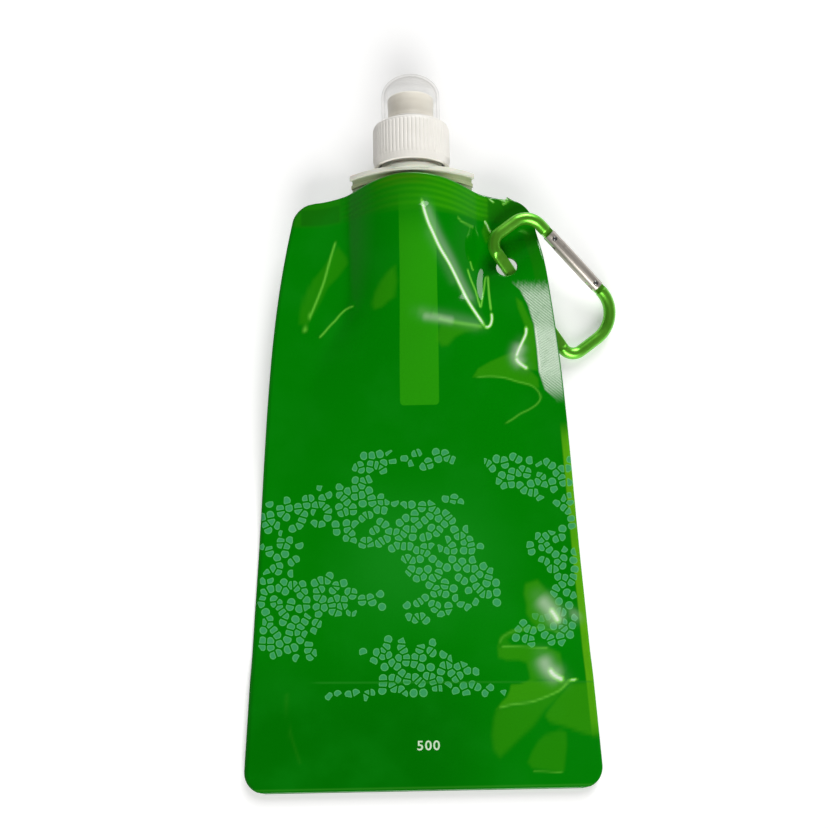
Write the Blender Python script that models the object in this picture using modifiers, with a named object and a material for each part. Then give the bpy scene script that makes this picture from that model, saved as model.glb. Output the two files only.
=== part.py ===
# Collapsible stand-up water bottle, empty and lying on its back: a flat pouch of two
# welded films with a folded bottom gusset, a welded spout with a ribbed screw cap, a
# push-pull nozzle under a clear dust cover, and a small carabiner through the corner.
#
# X runs across the pouch, Y from its bottom edge towards the cap, Z up from the surface
# that it lies on. "Height" below means the distance along Y from the bottom edge.
# Units are metres.
import math

import bmesh
import bpy
from mathutils import Matrix, Vector

MM = 0.001

# Clearances
FILM_GAP = 0.3 * MM           # between films that are welded on the real pouch
SEAT_GAP = 0.3 * MM           # between pieces that rest on each other
RUN_GAP = 0.3 * MM            # between pieces that slide or turn on each other
PIN_GAP = 0.2 * MM            # between a pin and its hole, on the radius

# Pouch
FILM = 0.35 * MM              # front and back film
GUSSET_FILM = 0.3 * MM
POUCH_LENGTH = 211.0 * MM     # bottom edge to shoulder edge
BOTTOM_WIDTH = 127.2 * MM
SIDE_TAPER = 27.0 * MM        # straight narrowing from bottom to shoulder
SHOULDER_DRAW = 15.3 * MM     # further narrowing, nearly all of it near the shoulder
BOTTOM_CORNER = 8.0 * MM      # radii of the outline's corners
SHOULDER_CORNER = 7.0 * MM
SEAL_WIDTH = 4.5 * MM         # welded side seams
GUSSET_HEIGHT = 37.0 * MM     # bottom edge to the gusset's fold
GUSSET_INSET = 0.5 * MM       # gusset's edge inside the pouch's edge
GUSSET_MOUTH = 0.6 * MM       # between the gusset's two leaves
SLACK = 1.2 * MM              # how far each empty film stands off the middle plane
FOLD_HEIGHT = 75.0 * MM       # where the empty pouch folds up over itself
ARCH_RISE = 7.5 * MM          # top edge over the spout, above the shoulder edge
ARCH_HALF_WIDTH = 36.0 * MM
BULGE_RUN = 101.2 * MM        # length over which the films part to pass round the spout
LIFT_CLEAR = 26.0 * MM        # side seams reach the spout's axis height this far below the shoulder

# Corner with the carabiner's hole
HOLE_FROM_SIDE = 13.78 * MM
HOLE_FROM_SHOULDER = 25.3 * MM
HOLE_RADIUS = 5.5 * MM
PAD_WIDTH = 18.0 * MM         # extra weld round the hole
PAD_RAMP = 28.0 * MM          # length over which it widens
PAD_BELOW_HOLE = 7.7 * MM
FILM_TWIST = 0.48             # slope of the film at the hole, where the ring twists it
TWIST_REACH = 8.0 * MM        # along the ring
TWIST_WIDTH = 30.0 * MM       # across the ring

# Spout fitment
BOAT_HALF_LENGTH = 23.0 * MM  # to where its two arcs would meet
BOAT_WALL = 0.9 * MM          # outside the bore's flare
BOAT_TIP = 0.75 * MM          # half thickness of the blunt tips
BOAT_HEIGHT = 13.4 * MM
WELD_CLEAR = 0.2 * MM
WELD_RIBS = 4
WELD_RIB = 0.4 * MM           # how far a rib stands out
FLANGE_CLEAR = 1.1 * MM       # flange above the films' top edge
FLANGE_THICK = 1.6 * MM
FLANGE_LIP = 0.6 * MM         # flange beyond the boat
NECK_RADIUS = 11.2 * MM
NECK_WALL = 2.6 * MM
BORE_FLARE = 1.0 * MM
NECK_LENGTH = 14.9 * MM       # above the flange
NECK_BEAD = 1.2 * MM          # bead above the flange

# Screw cap
THREAD_SPACE = 1.3 * MM       # between neck and cap, where the thread is
CAP_RIB = 0.4 * MM
RIB_SINK = 0.15 * MM          # root of the ribs inside the cap's wall
CAP_RIBS = 48
CAP_ABOVE_FLANGE = 2.1 * MM
CAP_BAND = 2.6 * MM           # plain band below the ribs
CAP_WALL = 1.3 * MM
CAP_PLATE = 1.6 * MM
SEAL_THICK = 1.1 * MM
TOWER_BORE = 5.0 * MM
TOWER_WALL = 1.5 * MM
PLUG_RADIUS = 2.5 * MM
PLUG_SINK = 0.5 * MM          # plug's top below the nozzle's
SPIDER_ARMS = 3
SPIDER_ARM = 1.5 * MM
COVER_BOSS = 2.2 * MM         # height of the ring that the dust cover grips
COVER_BOSS_WALL = 0.8 * MM

# Nozzle and dust cover
NOZZLE_WALL = 1.8 * MM
NOZZLE_LENGTH = 10.7 * MM
NOZZLE_PLATE = 2.1 * MM
NOZZLE_GROOVE = 0.5 * MM
COVER_WALL = 0.9 * MM
COVER_ABOVE_NOZZLE = 0.9 * MM  # from the nozzle's top to where the dome begins
COVER_DOME = 8.0 * MM         # height of the dome, which leaves room for the nozzle pulled out

# Carabiner, in its own plane: A along the spine from the hole, B towards the gate
ROD_RADIUS = 2.25 * MM
RING_WIDTH_AT_HOLE = 19.9 * MM
GATE_SLANT = math.radians(8.5)
NARROW_CORNER = 7.6 * MM
WIDE_CORNER = 11.6 * MM
SPINE_CORNER = 5.0 * MM
WIDE_STRAIGHT = 0.4 * MM      # straight rod beside the gate, before the wide corner
NARROW_STRAIGHT = 2.9 * MM    # and before the narrow one
SPINE_THICK = 3.0 * MM        # spine between its two pressed faces
SPINE_STEP = 0.9 * MM         # length over which the rod turns into the flat
RING_HEADING = math.radians(-53.8)
GATE_START = -0.4 * MM        # A where the gate's tube begins, along the gate line
GATE_LENGTH = 26.8 * MM
GATE_RADIUS = 2.45 * MM
GATE_BORE = 1.75 * MM
TONGUE = 1.8 * MM             # thickness of the frame's flattened ends
TONGUE_SHOW = 1.8 * MM        # tongue that shows between rod and tube
CAM_HALF = 1.95 * MM          # square end of the pivot tongue
PIVOT_INSET = 2.4 * MM        # pivot pin from the tube's end
LATCH_INSET = 1.9 * MM        # latch pin from the tube's other end
LATCH_CLEAR = 0.4 * MM
PIN_RADIUS = 0.7 * MM
PLUNGER_LENGTH = 3.0 * MM
SPRING_WIRE = 0.5 * MM
SPRING_TURNS = 6
SPRING_LENGTH = 8.0 * MM

# Derived places
DATUM_HEIGHT = GUSSET_HEIGHT  # world origin, above the bottom edge
BORE_RADIUS = NECK_RADIUS - NECK_WALL
BOAT_HALF_DEPTH = BORE_RADIUS + BORE_FLARE + BOAT_WALL
CAP_RADIUS = NECK_RADIUS + THREAD_SPACE + CAP_WALL + CAP_RIB
AXIS_Z = CAP_RADIUS           # the cap rests on the floor
LEAF_STACK = FILM_GAP + GUSSET_FILM + GUSSET_MOUTH / 2
FLANGE_BASE = POUCH_LENGTH + ARCH_RISE + FLANGE_CLEAR
FLANGE_TOP = FLANGE_BASE + FLANGE_THICK
BOAT_BASE = FLANGE_BASE - BOAT_HEIGHT
BULGE_START = BOAT_BASE - BULGE_RUN
LIFT_START = FOLD_HEIGHT
LIFT_END = POUCH_LENGTH - LIFT_CLEAR
NECK_RIM = FLANGE_TOP + NECK_LENGTH
SEAL_BASE = NECK_RIM + SEAT_GAP
PLATE_BASE = SEAL_BASE + SEAL_THICK + SEAT_GAP
CAP_BASE = FLANGE_TOP + CAP_ABOVE_FLANGE
CAP_TOP = PLATE_BASE + CAP_PLATE
NOZZLE_BASE = CAP_TOP + 2 * RUN_GAP
NOZZLE_TOP = NOZZLE_BASE + NOZZLE_LENGTH
TOWER_RADIUS = TOWER_BORE + TOWER_WALL
TOWER_TOP = NOZZLE_TOP - NOZZLE_PLATE - 2 * RUN_GAP
PLUG_TOP = NOZZLE_TOP - PLUG_SINK
NOZZLE_RADIUS = TOWER_RADIUS + RUN_GAP + NOZZLE_WALL
BOSS_INNER = NOZZLE_RADIUS + RUN_GAP
BOSS_OUTER = BOSS_INNER + COVER_BOSS_WALL
COVER_RADIUS = BOSS_OUTER + RUN_GAP + COVER_WALL
COVER_SHOULDER = NOZZLE_TOP + COVER_ABOVE_NOZZLE
COVER_APEX = COVER_SHOULDER + COVER_DOME
GATE_END = GATE_START + GATE_LENGTH
WIDE_TURN = math.pi / 2 + GATE_SLANT
NARROW_TURN = math.pi / 2 - GATE_SLANT
RING_WIDE_A = math.cos(GATE_SLANT) * (
    GATE_END + TONGUE_SHOW + WIDE_STRAIGHT + WIDE_CORNER * math.tan(WIDE_TURN / 2)
)
RING_NARROW_A = math.cos(GATE_SLANT) * (
    GATE_START - TONGUE_SHOW - NARROW_STRAIGHT - NARROW_CORNER * math.tan(NARROW_TURN / 2)
)
RING_DROP = (AXIS_Z - ROD_RADIUS) / RING_WIDE_A  # sine of the ring's tilt: its wide end rests on the floor
PLUNGER_RADIUS = GATE_BORE - RUN_GAP

# Colours
FILM_GREEN = (0.004, 0.18, 0.006)
NATURAL_WHITE = (0.72, 0.73, 0.66)
CAP_WHITE = (0.82, 0.80, 0.75)
NOZZLE_CREAM = (0.83, 0.78, 0.68)
CLEAR = (0.90, 0.91, 0.90)
ANODISED_GREEN = (0.10, 0.50, 0.03)
SATIN_SILVER = (0.62, 0.60, 0.57)
SPRING_STEEL = (0.55, 0.55, 0.56)


def clear_scene():
    for obj in list(bpy.data.objects):
        bpy.data.objects.remove(obj, do_unlink=True)


def collection(name):
    group = bpy.data.collections.new(name)
    bpy.context.scene.collection.children.link(group)
    return group


clear_scene()
PARTS = collection("collapsible_water_bottle")
CUTTERS = collection("cutters")


def smooth(t):
    t = min(1.0, max(0.0, t))
    return t * t * (3 - 2 * t)


def blend(a, b, t):
    return a + (b - a) * t


def material(name, colour, roughness, metallic=0.0, alpha=1.0):
    mat = bpy.data.materials.new(name)
    mat.use_nodes = True
    shader = mat.node_tree.nodes["Principled BSDF"]
    shader.inputs["Base Color"].default_value = (*colour, 1.0)
    shader.inputs["Roughness"].default_value = roughness
    shader.inputs["Metallic"].default_value = metallic
    shader.inputs["Alpha"].default_value = alpha
    mat.diffuse_color = (*colour, alpha)
    return mat


def add(name, mesh, group=PARTS):
    obj = bpy.data.objects.new(name, mesh)
    group.objects.link(obj)
    return obj


def mesh_of(bm, name):
    mesh = bpy.data.meshes.new(name)
    bm.to_mesh(mesh)
    bm.free()
    return mesh


def shade(obj, angle=35):
    obj.data.shade_smooth()
    obj.data.set_sharp_from_angle(angle=math.radians(angle))


def baked(obj):
    """The object with its modifiers made part of its mesh."""
    bpy.context.view_layer.update()
    seen = obj.evaluated_get(bpy.context.evaluated_depsgraph_get())
    mesh = bpy.data.meshes.new_from_object(seen)
    if obj.type == "CURVE":
        made = add(obj.name + "_mesh", mesh, obj.users_collection[0])
        made.matrix_world = obj.matrix_world
        name = obj.name
        bpy.data.objects.remove(obj, do_unlink=True)
        made.name = name
        obj = made
    else:
        obj.modifiers.clear()
        obj.data = mesh
    bm = bmesh.new()
    bm.from_mesh(obj.data)
    bmesh.ops.remove_doubles(bm, verts=bm.verts, dist=1e-6)
    bm.to_mesh(obj.data)
    bm.free()
    return obj


def cut(obj, cutter, operation="DIFFERENCE"):
    """Boolean of obj by cutter, which stays in the cutters' collection."""
    for group in list(cutter.users_collection):
        group.objects.unlink(cutter)
    CUTTERS.objects.link(cutter)
    cutter.hide_render = True
    cutter.display_type = "WIRE"
    mod = obj.modifiers.new(cutter.name, "BOOLEAN")
    mod.operation = operation
    mod.object = cutter
    mod.solver = "EXACT"
    return obj


def placed(obj, parent=None, location=(0, 0, 0), rotation=(0, 0, 0)):
    obj.parent = parent
    obj.location = location
    obj.rotation_euler = rotation
    return obj


# Axis of the neck: objects under it have their Z along the bottle and their height as Z.
SPOUT_AXIS = bpy.data.objects.new("spout_axis", None)
PARTS.objects.link(SPOUT_AXIS)
SPOUT_AXIS.location = (0, -DATUM_HEIGHT, AXIS_Z)
SPOUT_AXIS.rotation_euler = (-math.pi / 2, 0, 0)


def turned(name, profile, steps=36, group=PARTS):
    """A closed (radius, height) profile turned round the spout's axis, outer side first, from its top down."""
    bm = bmesh.new()
    ring = [bm.verts.new((r, 0, z)) for r, z in profile]
    closed = profile[0][0] > 0 or profile[-1][0] > 0
    for a, b in zip(ring, ring[1:]):
        bm.edges.new((a, b))
    if closed:
        bm.edges.new((ring[-1], ring[0]))
    obj = add(name, mesh_of(bm, name), group)
    mod = obj.modifiers.new("turn", "SCREW")
    mod.steps = steps
    mod.render_steps = steps
    mod.use_merge_vertices = True
    mod.merge_threshold = 0.00001
    mod.use_normal_calculate = False
    obj.parent = SPOUT_AXIS
    return baked(obj)


def outline_slab(name, points, thick, group=PARTS):
    """A closed flat outline, filled and made thick, centred on its plane."""
    curve = bpy.data.curves.new(name, "CURVE")
    curve.dimensions = "2D"
    curve.fill_mode = "BOTH"
    curve.extrude = thick / 2
    line = curve.splines.new("POLY")
    line.points.add(len(points) - 1)
    for p, (x, y) in zip(line.points, points):
        p.co = (x, y, 0, 1)
    line.use_cyclic_u = True
    return baked(add(name, curve, group))


def cylinder(name, radius, length, sides=24, group=PARTS):
    bm = bmesh.new()
    bmesh.ops.create_cone(bm, cap_ends=True, segments=sides, radius1=radius, radius2=radius, depth=length)
    return add(name, mesh_of(bm, name), group)


def box(name, size, group=PARTS):
    bm = bmesh.new()
    bmesh.ops.create_cube(bm, size=1.0, matrix=Matrix.Diagonal((*size, 1.0)))
    return add(name, mesh_of(bm, name), group)


# Pouch outline and the films' heights

def side_half_width(height):
    t = height / POUCH_LENGTH
    return (BOTTOM_WIDTH - SIDE_TAPER * t - SHOULDER_DRAW * t ** 5) / 2


HOLE_HEIGHT = POUCH_LENGTH - HOLE_FROM_SHOULDER
HOLE_X = side_half_width(HOLE_HEIGHT) - HOLE_FROM_SIDE


def half_width(height):
    """Half the pouch's width, with the rounded corners."""
    half = side_half_width(height)
    for radius, away in ((BOTTOM_CORNER, height), (SHOULDER_CORNER, POUCH_LENGTH - height)):
        if away < radius:
            reach = radius - max(0.0, away)
            half -= radius - math.sqrt(max(0.0, radius * radius - reach * reach))
    return half


def corner_rows(radius, steps=4):
    """Distances from the end of the outline that follow a rounded corner."""
    return [radius * (1 - math.cos(math.pi / 2 * k / steps)) for k in range(steps + 1)]


def arch(x):
    """How far the top edge stands above the shoulder edge."""
    if abs(x) >= ARCH_HALF_WIDTH:
        return 0.0
    return ARCH_RISE * math.cos(math.pi / 2 * x / ARCH_HALF_WIDTH) ** 1.6


def lens(x, half_length, half_depth):
    """Half thickness of a boat shape bounded by two arcs."""
    if abs(x) >= half_length or half_depth <= 0:
        return 0.0
    radius = (half_length ** 2 + half_depth ** 2) / (2 * half_depth)
    return math.sqrt(radius * radius - x * x) - (radius - half_depth)


def seam(height):
    """Left and right edge of the unwelded inside."""
    half = side_half_width(height) - SEAL_WIDTH
    pad = PAD_WIDTH * smooth((height - HOLE_HEIGHT + PAD_BELOW_HOLE) / PAD_RAMP + 1)
    return -half, half - pad


def half_gap(x, height):
    """From the pouch's middle surface to either film's inner face."""
    left, right = seam(height)
    across = (2 * x - left - right) / (right - left)
    puff = max(0.0, 1 - across * across) ** 1.5
    spread = smooth((height - BULGE_START) / (BOAT_BASE - BULGE_START))
    loose = FILM_GAP / 2 + SLACK * puff * (1 - spread)
    over_gusset = blend(LEAF_STACK, loose, smooth((height - GUSSET_HEIGHT - FILM_GAP) / (12 * MM)))
    reach = blend(0.9 * right, BOAT_HALF_LENGTH + 2 * WELD_CLEAR, spread)
    bulge = lens(x, reach, spread * (BOAT_HALF_DEPTH + WELD_CLEAR))
    return over_gusset + bulge


RING_WAY = Vector((math.cos(RING_HEADING), math.sin(RING_HEADING)))


def middle(x, height):
    """Z of the surface halfway between the films."""
    lift = smooth((height - LIFT_START) / (LIFT_END - LIFT_START))
    rest = FILM + half_gap(x, height)
    along = (x - HOLE_X) * RING_WAY.x + (height - HOLE_HEIGHT) * RING_WAY.y
    across = (x - HOLE_X) * RING_WAY.y - (height - HOLE_HEIGHT) * RING_WAY.x
    fade = math.exp(-0.5 * (along / TWIST_REACH) ** 2 - 0.5 * (across / TWIST_WIDTH) ** 2)
    return blend(rest, AXIS_Z, lift) + FILM_TWIST * along * fade * lift


def sheet(name, rows, columns, place, thickness, offset):
    """A grid whose rows and columns are put where place(side, row) says, then made thick."""
    bm = bmesh.new()
    bmesh.ops.create_grid(bm, x_segments=columns, y_segments=len(rows) - 1, size=1.0)
    for vert in bm.verts:
        row = rows[round((vert.co.y + 1) / 2 * (len(rows) - 1))]
        vert.co = place(vert.co.x, row)
    bmesh.ops.triangulate(bm, faces=bm.faces, quad_method="FIXED")
    obj = add(name, mesh_of(bm, name))
    mod = obj.modifiers.new("thickness", "SOLIDIFY")
    mod.thickness = thickness
    mod.offset = offset
    mod.use_even_offset = True
    obj.location = (0, -DATUM_HEIGHT, 0)
    return obj


def film_point(side, height, way):
    x = side * half_width(height)
    rise = smooth((height - LIFT_END) / (POUCH_LENGTH - LIFT_END))
    y = height + arch(x) * rise
    return Vector((x, y, middle(x, y) + way * half_gap(x, y)))


def front_point(side, height):
    return film_point(side, height, 1)


def back_point(side, height):
    return film_point(side, height, -1)


def spaced(start, end, step):
    count = max(1, round((end - start) / step))
    return [start + (end - start) * k / count for k in range(count + 1)]


lower_rows = corner_rows(BOTTOM_CORNER) + spaced(BOTTOM_CORNER, FOLD_HEIGHT - FILM_GAP / 2, 8.5 * MM)[1:]
shoulder_rows = [POUCH_LENGTH - d for d in reversed(corner_rows(SHOULDER_CORNER))]
upper_rows = spaced(FOLD_HEIGHT + FILM_GAP / 2, POUCH_LENGTH - SHOULDER_CORNER, 7.6 * MM)[:-1] + shoulder_rows

front_film_lower = sheet("front_film_lower", lower_rows, 12, front_point, FILM, 1)
back_film_lower = sheet("back_film_lower", lower_rows, 12, back_point, FILM, -1)
front_film_upper = sheet("front_film_upper", upper_rows, 24, front_point, FILM, 1)
back_film_upper = sheet("back_film_upper", upper_rows, 24, back_point, FILM, -1)


def leaf_rows():
    """Heights and Z of the gusset's sheet, up its back leaf, round the fold and down its front leaf."""
    low = FILM + FILM_GAP + GUSSET_FILM / 2
    bend = (GUSSET_MOUTH + GUSSET_FILM) / 2
    rise = [GUSSET_INSET + h for h in corner_rows(BOTTOM_CORNER, 3)]
    rise += spaced(rise[-1], GUSSET_HEIGHT - bend - GUSSET_FILM / 2, 9 * MM)[1:]
    turn = [math.pi * k / 6 for k in range(1, 6)]
    top = rise[-1]
    around = [(top + bend * math.sin(t), low + bend * (1 - math.cos(t))) for t in turn]
    return [(h, low) for h in rise] + around + [(h, low + 2 * bend) for h in reversed(rise)]


def gusset_point(side, row):
    height, z = row
    return Vector((side * (half_width(height) - GUSSET_INSET), height, z))


bottom_gusset = sheet("bottom_gusset", leaf_rows(), 10, gusset_point, GUSSET_FILM, 0)

for film in (front_film_upper, back_film_upper):
    punch = cylinder(film.name + "_hole", HOLE_RADIUS, 30 * MM, 24)
    punch.location = (HOLE_X, HOLE_HEIGHT - DATUM_HEIGHT, AXIS_Z)
    cut(film, punch)

for obj, colour in (
    (front_film_upper, FILM_GREEN),
    (back_film_upper, FILM_GREEN),
    (front_film_lower, FILM_GREEN),
    (back_film_lower, FILM_GREEN),
    (bottom_gusset, FILM_GREEN),
):
    obj.data.materials.append(material(obj.name, colour, 0.25, alpha=0.8))
    shade(obj)


# Spout fitment

def boat_outline(half_length, half_depth, tip, steps=7):
    """Two arcs with blunt tips, counterclockwise."""
    end = half_length
    while lens(end, half_length, half_depth) < tip:
        end -= 0.01 * MM
    xs = [end * math.sin(math.pi / 2 * k / steps) for k in range(-steps, steps + 1)]
    lower = [(x, -lens(x, half_length, half_depth)) for x in xs]
    return lower + [(x, -y) for x, y in reversed(lower)]


def boat_slab(name, grow, base, thick):
    slab = outline_slab(
        name, boat_outline(BOAT_HALF_LENGTH + grow, BOAT_HALF_DEPTH + grow, BOAT_TIP), thick
    )
    return placed(slab, SPOUT_AXIS, (0, 0, base + thick / 2))


spout_fitment = boat_slab("spout_fitment", -WELD_RIB, BOAT_BASE, BOAT_HEIGHT + FLANGE_THICK / 2)
rib_pitch = (BOAT_HEIGHT - 2 * WELD_RIB) / WELD_RIBS
for k in range(WELD_RIBS):
    rib = boat_slab(f"weld_rib_{k + 1}", 0, BOAT_BASE + WELD_RIB + k * rib_pitch, rib_pitch / 2)
    cut(spout_fitment, rib, "UNION")
flange = boat_slab("flange", FLANGE_LIP, FLANGE_BASE, FLANGE_THICK)
cut(spout_fitment, flange, "UNION")
neck = turned("neck", [
    (0, NECK_RIM),
    (NECK_RADIUS - 0.4 * MM, NECK_RIM),
    (NECK_RADIUS, NECK_RIM - 0.4 * MM),
    (NECK_RADIUS, FLANGE_TOP + 1.4 * MM),
    (NECK_RADIUS + NECK_BEAD, FLANGE_TOP + 0.9 * MM),
    (NECK_RADIUS + NECK_BEAD, FLANGE_TOP - FLANGE_THICK / 2),
    (0, FLANGE_TOP - FLANGE_THICK / 2),
])
cut(spout_fitment, neck, "UNION")
bore = turned("bore", [
    (0, NECK_RIM + 2 * MM),
    (BORE_RADIUS, NECK_RIM + 2 * MM),
    (BORE_RADIUS, BOAT_BASE + 3 * MM),
    (BORE_RADIUS + BORE_FLARE, BOAT_BASE - 1 * MM),
    (0, BOAT_BASE - 1 * MM),
])
cut(spout_fitment, bore)
spout_fitment.data.materials.append(material("spout_fitment", NATURAL_WHITE, 0.4))
shade(spout_fitment)


# Screw cap with its tower

root_radius = CAP_RADIUS - CAP_RIB
inner_radius = root_radius - CAP_WALL
cap_edge = 0.8 * MM

cap_seal = turned("cap_seal", [
    (NECK_RADIUS, SEAL_BASE + SEAL_THICK),
    (NECK_RADIUS, SEAL_BASE),
    (BORE_RADIUS, SEAL_BASE),
    (BORE_RADIUS, SEAL_BASE + SEAL_THICK),
])
cap_seal.data.materials.append(material("cap_seal", CLEAR, 0.5))
shade(cap_seal)

screw_cap = turned("screw_cap", [
    (TOWER_BORE, TOWER_TOP),
    (TOWER_RADIUS - 0.4 * MM, TOWER_TOP),
    (TOWER_RADIUS, TOWER_TOP - 0.4 * MM),
    (TOWER_RADIUS, CAP_TOP),
    (BOSS_INNER, CAP_TOP),
    (BOSS_INNER, CAP_TOP + COVER_BOSS),
    (BOSS_OUTER - 0.3 * MM, CAP_TOP + COVER_BOSS),
    (BOSS_OUTER, CAP_TOP + COVER_BOSS - 0.6 * MM),
    (BOSS_OUTER, CAP_TOP),
    (root_radius - cap_edge, CAP_TOP),
    (root_radius, CAP_TOP - cap_edge),
    (root_radius, CAP_BASE + 0.3 * MM),
    (root_radius - 0.3 * MM, CAP_BASE),
    (inner_radius, CAP_BASE),
    (inner_radius, PLATE_BASE),
    (TOWER_BORE, PLATE_BASE),
], CAP_RIBS)


def ribbed_prism(name, low, high):
    """A prism whose outline is a ring of ribs that run out at the top."""
    bm = bmesh.new()
    bmesh.ops.create_cone(
        bm, cap_ends=True, segments=2 * CAP_RIBS, radius1=CAP_RADIUS, radius2=CAP_RADIUS, depth=high - low,
        matrix=Matrix.Translation((0, 0, (low + high) / 2)),
    )
    bmesh.ops.bisect_plane(
        bm, geom=bm.verts[:] + bm.edges[:] + bm.faces[:], plane_co=(0, 0, high - CAP_RIB), plane_no=(0, 0, 1)
    )
    for vert in bm.verts:
        step = round(math.atan2(vert.co.y, vert.co.x) / (math.pi / CAP_RIBS))
        if step % 2 or vert.co.z > high - CAP_RIB / 2:
            vert.co.xy *= (root_radius - RIB_SINK) / CAP_RADIUS
    return placed(add(name, mesh_of(bm, name)), SPOUT_AXIS)


rib_low = CAP_BASE + CAP_BAND
rib_high = CAP_TOP - cap_edge
rib_ring = ribbed_prism("cap_ribs", rib_low, rib_high)
hollow = cylinder("rib_ring_inside", root_radius - CAP_WALL / 2, 2 * (rib_high - rib_low), CAP_RIBS)
cut(rib_ring, placed(hollow, SPOUT_AXIS, (0, 0, (rib_low + rib_high) / 2)))
cut(screw_cap, rib_ring, "UNION")
spider_low = TOWER_TOP - 3.2 * MM
plug = turned("cap_plug", [
    (0, PLUG_TOP),
    (PLUG_RADIUS - RUN_GAP, PLUG_TOP),
    (PLUG_RADIUS, PLUG_TOP - RUN_GAP),
    (PLUG_RADIUS, spider_low),
    (0, spider_low),
], 24)
arm_start = PLUG_RADIUS - 1 * MM
arm_end = (TOWER_BORE + TOWER_RADIUS) / 2
for k in range(SPIDER_ARMS):
    arm = box(f"spider_arm_{k + 1}", (arm_end - arm_start, SPIDER_ARM, 2.0 * MM))
    turn = 2 * math.pi * (k + 0.5) / SPIDER_ARMS
    reach = (arm_start + arm_end) / 2
    placed(arm, SPOUT_AXIS, (
        reach * math.cos(turn), reach * math.sin(turn), spider_low + 1.3 * MM,
    ), (0, 0, turn))
    cut(plug, arm, "UNION")
cut(screw_cap, plug, "UNION")
screw_cap.data.materials.append(material("screw_cap", CAP_WHITE, 0.45))
shade(screw_cap)

sleeve_bore = TOWER_RADIUS + RUN_GAP
outlet = PLUG_RADIUS + RUN_GAP
nozzle = turned("nozzle", [
    (NOZZLE_RADIUS - 0.8 * MM, NOZZLE_TOP),
    (NOZZLE_RADIUS, NOZZLE_TOP - 0.8 * MM),
    (NOZZLE_RADIUS, NOZZLE_TOP - 2.6 * MM),
    (NOZZLE_RADIUS - NOZZLE_GROOVE, NOZZLE_TOP - 3.8 * MM),
    (NOZZLE_RADIUS - NOZZLE_GROOVE, NOZZLE_BASE + 3.4 * MM),
    (NOZZLE_RADIUS, NOZZLE_BASE + 2.4 * MM),
    (NOZZLE_RADIUS, NOZZLE_BASE),
    (sleeve_bore, NOZZLE_BASE),
    (sleeve_bore, NOZZLE_TOP - NOZZLE_PLATE),
    (outlet, NOZZLE_TOP - NOZZLE_PLATE),
    (outlet, NOZZLE_TOP),
])
nozzle.data.materials.append(material("nozzle", NOZZLE_CREAM, 0.35))
shade(nozzle)


def dome(radius, apex, steps=5):
    """Profile of a dome from its apex down to its rim at the cover's shoulder."""
    rise = apex - COVER_SHOULDER
    turns = [math.pi / 2 * k / steps for k in range(steps + 1)]
    return [(radius * math.sin(t), COVER_SHOULDER + rise * math.cos(t)) for t in turns]


cover_base = CAP_TOP + SEAT_GAP
outside = dome(COVER_RADIUS, COVER_APEX) + [(COVER_RADIUS, cover_base)]
inside = dome(COVER_RADIUS - COVER_WALL, COVER_APEX - COVER_WALL) + [(COVER_RADIUS - COVER_WALL, cover_base)]
dust_cover = turned("dust_cover", outside + inside[::-1])
dust_cover.data.materials.append(material("dust_cover", CLEAR, 0.15, alpha=0.3))
shade(dust_cover)


# Carabiner: an empty in the ring's plane, at the hole

ring_x = Vector((*(RING_WAY * math.sqrt(1 - RING_DROP ** 2)), -RING_DROP))
ring_y = Vector((-RING_WAY.y, RING_WAY.x, 0))
ring_z = ring_x.cross(ring_y)
RING_FRAME = bpy.data.objects.new("carabiner_axis", None)
PARTS.objects.link(RING_FRAME)
ring_matrix = Matrix((ring_x, ring_y, ring_z)).transposed().to_4x4()
RING_FRAME.matrix_world = Matrix.Translation((HOLE_X, HOLE_HEIGHT - DATUM_HEIGHT, AXIS_Z)) @ ring_matrix

gate_way = Vector((math.cos(GATE_SLANT), math.sin(GATE_SLANT)))
gate_side = Vector((-gate_way.y, gate_way.x))


def on_gate_line(along, aside=0.0):
    """Point on the gate's centre line, along it from where A is zero."""
    return Vector((0, RING_WIDTH_AT_HOLE)) + gate_way * along + gate_side * aside


def rounded_path(corners, radii, step=math.radians(11)):
    """Points of a path through the first and last corner, with the ones between rounded."""
    path = [corners[0].copy()]
    for before, here, after, radius in zip(corners, corners[1:], corners[2:], radii):
        into = (here - before).normalized()
        out = (after - here).normalized()
        turn = into.angle_signed(out)
        half = abs(turn) / 2
        centre_way = (out - into).normalized()
        centre = here + centre_way * (radius / math.cos(half))
        start = here - into * radius * math.tan(half) - centre
        count = max(2, math.ceil(abs(turn) / step))
        for k in range(count + 1):
            path.append(centre + Matrix.Rotation(-turn * k / count, 2) @ start)
    return path + [corners[-1].copy()]


rod_start = on_gate_line(GATE_END + TONGUE_SHOW)
rod_end = on_gate_line(GATE_START - TONGUE_SHOW)
corner_wide = on_gate_line(RING_WIDE_A / gate_way.x)
corner_narrow = on_gate_line(RING_NARROW_A / gate_way.x)
ring_corners = [
    rod_start, corner_wide, Vector((RING_WIDE_A, 0)), Vector((RING_NARROW_A, 0)), corner_narrow, rod_end,
]
flat_from = RING_NARROW_A + SPINE_CORNER
flat_to = RING_WIDE_A - SPINE_CORNER


def with_steps(path):
    """The path with a point at the foot of each step on the spine."""
    steps = [flat_to - SPINE_STEP, flat_from + SPINE_STEP]
    marked = [path[0]]
    for here, after in zip(path, path[1:]):
        if max(abs(here.y), abs(after.y)) < 0.01 * MM:
            marked += [Vector((a, 0)) for a in steps if after.x < a < here.x]
        marked.append(after)
    return marked


ring_path = rounded_path(ring_corners, [WIDE_CORNER, SPINE_CORNER, SPINE_CORNER, NARROW_CORNER])


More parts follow.
